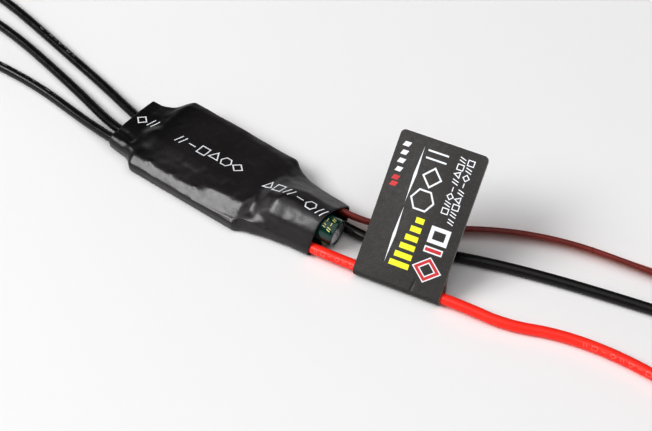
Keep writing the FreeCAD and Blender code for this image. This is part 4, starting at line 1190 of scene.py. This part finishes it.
def add_tinned_end(end, route):
    """Stripped strands, twisted together and tinned."""
    place = end_place(route)
    outline = [(0.0, -0.2), (0.5, -0.2)] + [(BUNDLE_RADIUS, BUNDLE_SUNK + 4.75 * k / 40) for k in range(41)]
    for angle in (0.35, 0.7, 1.0, 1.25, 1.42):
        outline.append((BUNDLE_RADIUS * math.cos(angle), 4.6 + TIP_HIGH * math.sin(angle)))
    outline += [(0.0, BUNDLE_LONG)]
    data = turned(f"tinned_strands_{end}", outline, 132)
    for vertex in data.vertices:
        reach = vertex.co.xy.length
        if reach > 1e-6:
            angle = math.atan2(vertex.co.y, vertex.co.x) - BUNDLE_TWIST * vertex.co.z
            lobe = 1 - LOBE_DEEP * (1 - abs(math.cos(STRAND_COUNT * angle / 2))) ** 2
            lobe *= 1 + 0.05 * noise.noise(Vector((vertex.co.x, vertex.co.y, vertex.co.z * 0.7)) * 1.2)
            vertex.co.x *= lobe
            vertex.co.y *= lobe
        vertex.co = placed(place, vertex.co)
    return add_piece(f"tinned_strands_{end}", data, "tinned_metal", (f"tinned_end_{end}",))


bullets = {end: add_bullet(end, route) for end, route in MOTOR_ROUTES.items()}
tinned = {end: add_tinned_end(end, route) for end, route in BATTERY_ROUTES.items()}

# ---------------- signal plug

PLUG_LONG, PLUG_WIDE, PLUG_HIGH = 14.0, 7.6, 2.5
PLUG_PITCH = 2.54
STRAND_DEPTH = 0.0035
# Cut-outs of the plug, in millimetres
CAVITY_HALF = 0.85
WINDOW_START, WINDOW_END, WINDOW_HALF = 4.1, 6.7, 0.5
RIB_COUNT, RIB_START, RIB_PITCH, RIB_LONG, RIB_DEEP = 4, 9.0, 0.8, 0.35, 0.14
WAIST_HALF, WAIST_LONG = 3.62, 2.6
PAST = 1.0
PAST_SIDE = 5.0


def blocks(name, boxes):
    """One mesh of separate boxes, each given by its two opposite corners."""
    made = bmesh.new()
    for low, high in boxes:
        cube = bmesh.ops.create_cube(made, size=1.0)
        for vertex in cube["verts"]:
            vertex.co = Vector([a + (b - a) * (c + 0.5) for a, b, c in zip(low, high, vertex.co)])
    data = bpy.data.meshes.new(name)
    made.to_mesh(data)
    made.free()
    return linked(name, data)


def carved(name, body_box, cutter_boxes, bevel):
    """A block with boxes cut out of it and its edges eased, in millimetres."""
    holder, cutter = blocks(name, [body_box]), blocks("cutter", cutter_boxes)
    cut = holder.modifiers.new("cut", "BOOLEAN")
    cut.operation = "DIFFERENCE"
    cut.solver = "EXACT"
    cut.object = cutter
    edge = holder.modifiers.new("edge", "BEVEL")
    edge.width = bevel
    edge.segments = 3
    edge.limit_method = "ANGLE"
    edge.angle_limit = SHARP_ANGLE
    data = evaluated_mesh(holder)
    for thing in (holder, cutter):
        bpy.data.objects.remove(thing)
    return data


def add_plug():
    tip, before = Vector(SIGNAL_ROUTES["red"][-1]), Vector(SIGNAL_ROUTES["red"][-2])
    heading = (tip - before).normalized()
    back = tip - heading * STRAND_DEPTH
    turn = Matrix.Rotation(math.atan2(heading.y, heading.x), 4, "Z")
    place = Matrix.Translation((back.x, back.y, 0)) @ turn
    cutters = []
    middle, top = PLUG_HIGH / 2, PLUG_HIGH + PAST
    for step in (-1, 0, 1):
        y = PLUG_PITCH * step
        low, high = (-PAST, y - CAVITY_HALF, middle - CAVITY_HALF), (PLUG_LONG + PAST, y + CAVITY_HALF)
        cutters.append((low, (*high, middle + CAVITY_HALF)))
        cutters.append(((WINDOW_START, y - WINDOW_HALF, middle), (WINDOW_END, y + WINDOW_HALF, top)))
    for k in range(RIB_COUNT):
        x = RIB_START + RIB_PITCH * k
        cutters.append(((x, -PAST_SIDE, PLUG_HIGH - RIB_DEEP), (x + RIB_LONG, PAST_SIDE, top)))
    for side in (-1, 1):
        cutters.append(((-PAST, side * WAIST_HALF, -PAST), (WAIST_LONG, side * PAST_SIDE, top)))
    boxes = [(tuple(min(a, b) for a, b in zip(*c)), tuple(max(a, b) for a, b in zip(*c))) for c in cutters]
    data = carved("plug_shell", ((0, -PLUG_WIDE / 2, 0), (PLUG_LONG, PLUG_WIDE / 2, PLUG_HIGH)), boxes, 0.1)
    for vertex in data.vertices:
        vertex.co = placed(place, vertex.co)
    data.polygons.foreach_set("use_smooth", [True] * len(data.polygons))
    data.set_sharp_from_angle(angle=math.radians(35))
    return add_piece("plug_shell", data, "plug_plastic", ("plug_housing",))


plug = add_plug()

# ---------------- floor, light and camera

FLOOR_SIDE = 3.0
CAMERA_TARGET = Vector((0.01791, 0.00468, 0.0))
CAMERA_AZIMUTH = 38.6
CAMERA_ELEVATION = 45.0
CAMERA_DISTANCE = 0.330
LENS = 100.2
SENSOR_WIDTH = 36.0
SKY_HORIZON = 0.05
SKY_OVERHEAD = 0.42
# Deepens the darks of the rendered picture only; the materials don't carry it
VIEW_GAMMA = 0.78


def pale_floor():
    made = Shader("pale_floor", (0.9, 0.895, 0.9), 0.6, Specular_IOR_Level=0.2)
    made.paint(made.ramp(made.noise(0.5, 2.0), 0.3, 0.7), (0.885, 0.882, 0.885))
    made.grain(0.004, 2.0, 0.00001)
    return made.material


def add_floor():
    made = bmesh.new()
    bmesh.ops.create_grid(made, x_segments=8, y_segments=8, size=FLOOR_SIDE / 2)
    data = bpy.data.meshes.new("floor")
    made.to_mesh(data)
    made.free()
    data.materials.append(pale_floor())
    linked("floor", data)


def direction(azimuth, elevation):
    """Unit vector towards a place at that azimuth and elevation round the object."""
    a, e = math.radians(azimuth), math.radians(elevation)
    return Vector((math.sin(a) * math.cos(e), -math.cos(a) * math.cos(e), math.sin(e)))


def aimed(name, data, target, azimuth, elevation, distance):
    """An object that looks at target from that azimuth, elevation and distance."""
    thing = linked(name, data)
    back = direction(azimuth, elevation)
    thing.location = target + back * distance
    thing.rotation_mode = "QUATERNION"
    thing.rotation_quaternion = back.to_track_quat("Z", "Y")
    return thing


def softbox(name, azimuth, elevation, distance, width, height, power):
    data = bpy.data.lights.new(name, "AREA")
    data.shape = "RECTANGLE"
    data.size = width
    data.size_y = height
    data.energy = power
    aimed(name, data, Vector((0.0, 0.0, 0.0)), azimuth, elevation, distance)


def add_sky():
    """A pale studio: bright round the horizon and dim overhead."""
    world = bpy.data.worlds.new("studio")
    world.use_nodes = True
    tree = world.node_tree
    background = tree.nodes["Background"]
    coordinates = tree.nodes.new("ShaderNodeTexCoord")
    split = tree.nodes.new("ShaderNodeSeparateXYZ")
    shade = tree.nodes.new("ShaderNodeValToRGB")
    tree.links.new(coordinates.outputs["Generated"], split.inputs[0])
    tree.links.new(split.outputs["Z"], shade.inputs["Fac"])
    shade.color_ramp.elements[0].position = SKY_HORIZON
    shade.color_ramp.elements[0].color = (1.0, 1.0, 1.0, 1.0)
    shade.color_ramp.elements[1].position = SKY_OVERHEAD
    shade.color_ramp.elements[1].color = (0.05, 0.049, 0.049, 1.0)
    tree.links.new(shade.outputs["Color"], background.inputs["Color"])
    background.inputs["Strength"].default_value = 1.0
    bpy.context.scene.world = world


def add_camera():
    data = bpy.data.cameras.new("camera")
    data.lens = LENS
    data.sensor_width = SENSOR_WIDTH
    data.dof.use_dof = False
    data.clip_start = 0.01
    data.clip_end = 20.0
    bpy.context.scene.camera = aimed(
        "camera", data, CAMERA_TARGET, CAMERA_AZIMUTH, CAMERA_ELEVATION, CAMERA_DISTANCE
    )


add_floor()
softbox(
    "key_softbox", azimuth=-40, elevation=44, distance=1.20, width=0.77, height=0.54, power=11.8
)
softbox(
    "overhead_softbox", azimuth=62, elevation=72, distance=1.30, width=2.00, height=2.00, power=13.4
)
add_sky()
add_camera()
bpy.context.scene.view_settings.view_transform = "Standard"
bpy.context.scene.view_settings.gamma = VIEW_GAMMA

# ---------------- pieces on each cord, put in lists that nothing uses, then the CAD parts' materials by slot

nodes = frame["nodes"]
for end, route in MOTOR_ROUTES.items():
    node = f"motor_lead_{end}"
    on_it = bullets[end] + [cord_marks[node]]
    if end == "a":
        on_it.append(nodes["bullet_solder"])
for end, route in BATTERY_ROUTES.items():
    node = f"battery_lead_{end}"
    on_it = [tinned[end], cord_marks[node]]
    if end == "positive":
        on_it += tag_pieces
for end, route in SIGNAL_ROUTES.items():
    node = f"signal_lead_{end}"
    on_it = [plug, nodes["plug_contacts"]]
    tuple(route[2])

for node, thing in nodes.items():
    slot = next(part["material_slot"] for part in frame["record"]["subparts"] if part["node"] == node)
    thing.data.materials.clear()
    thing.data.materials.append(MATERIALS[slot])
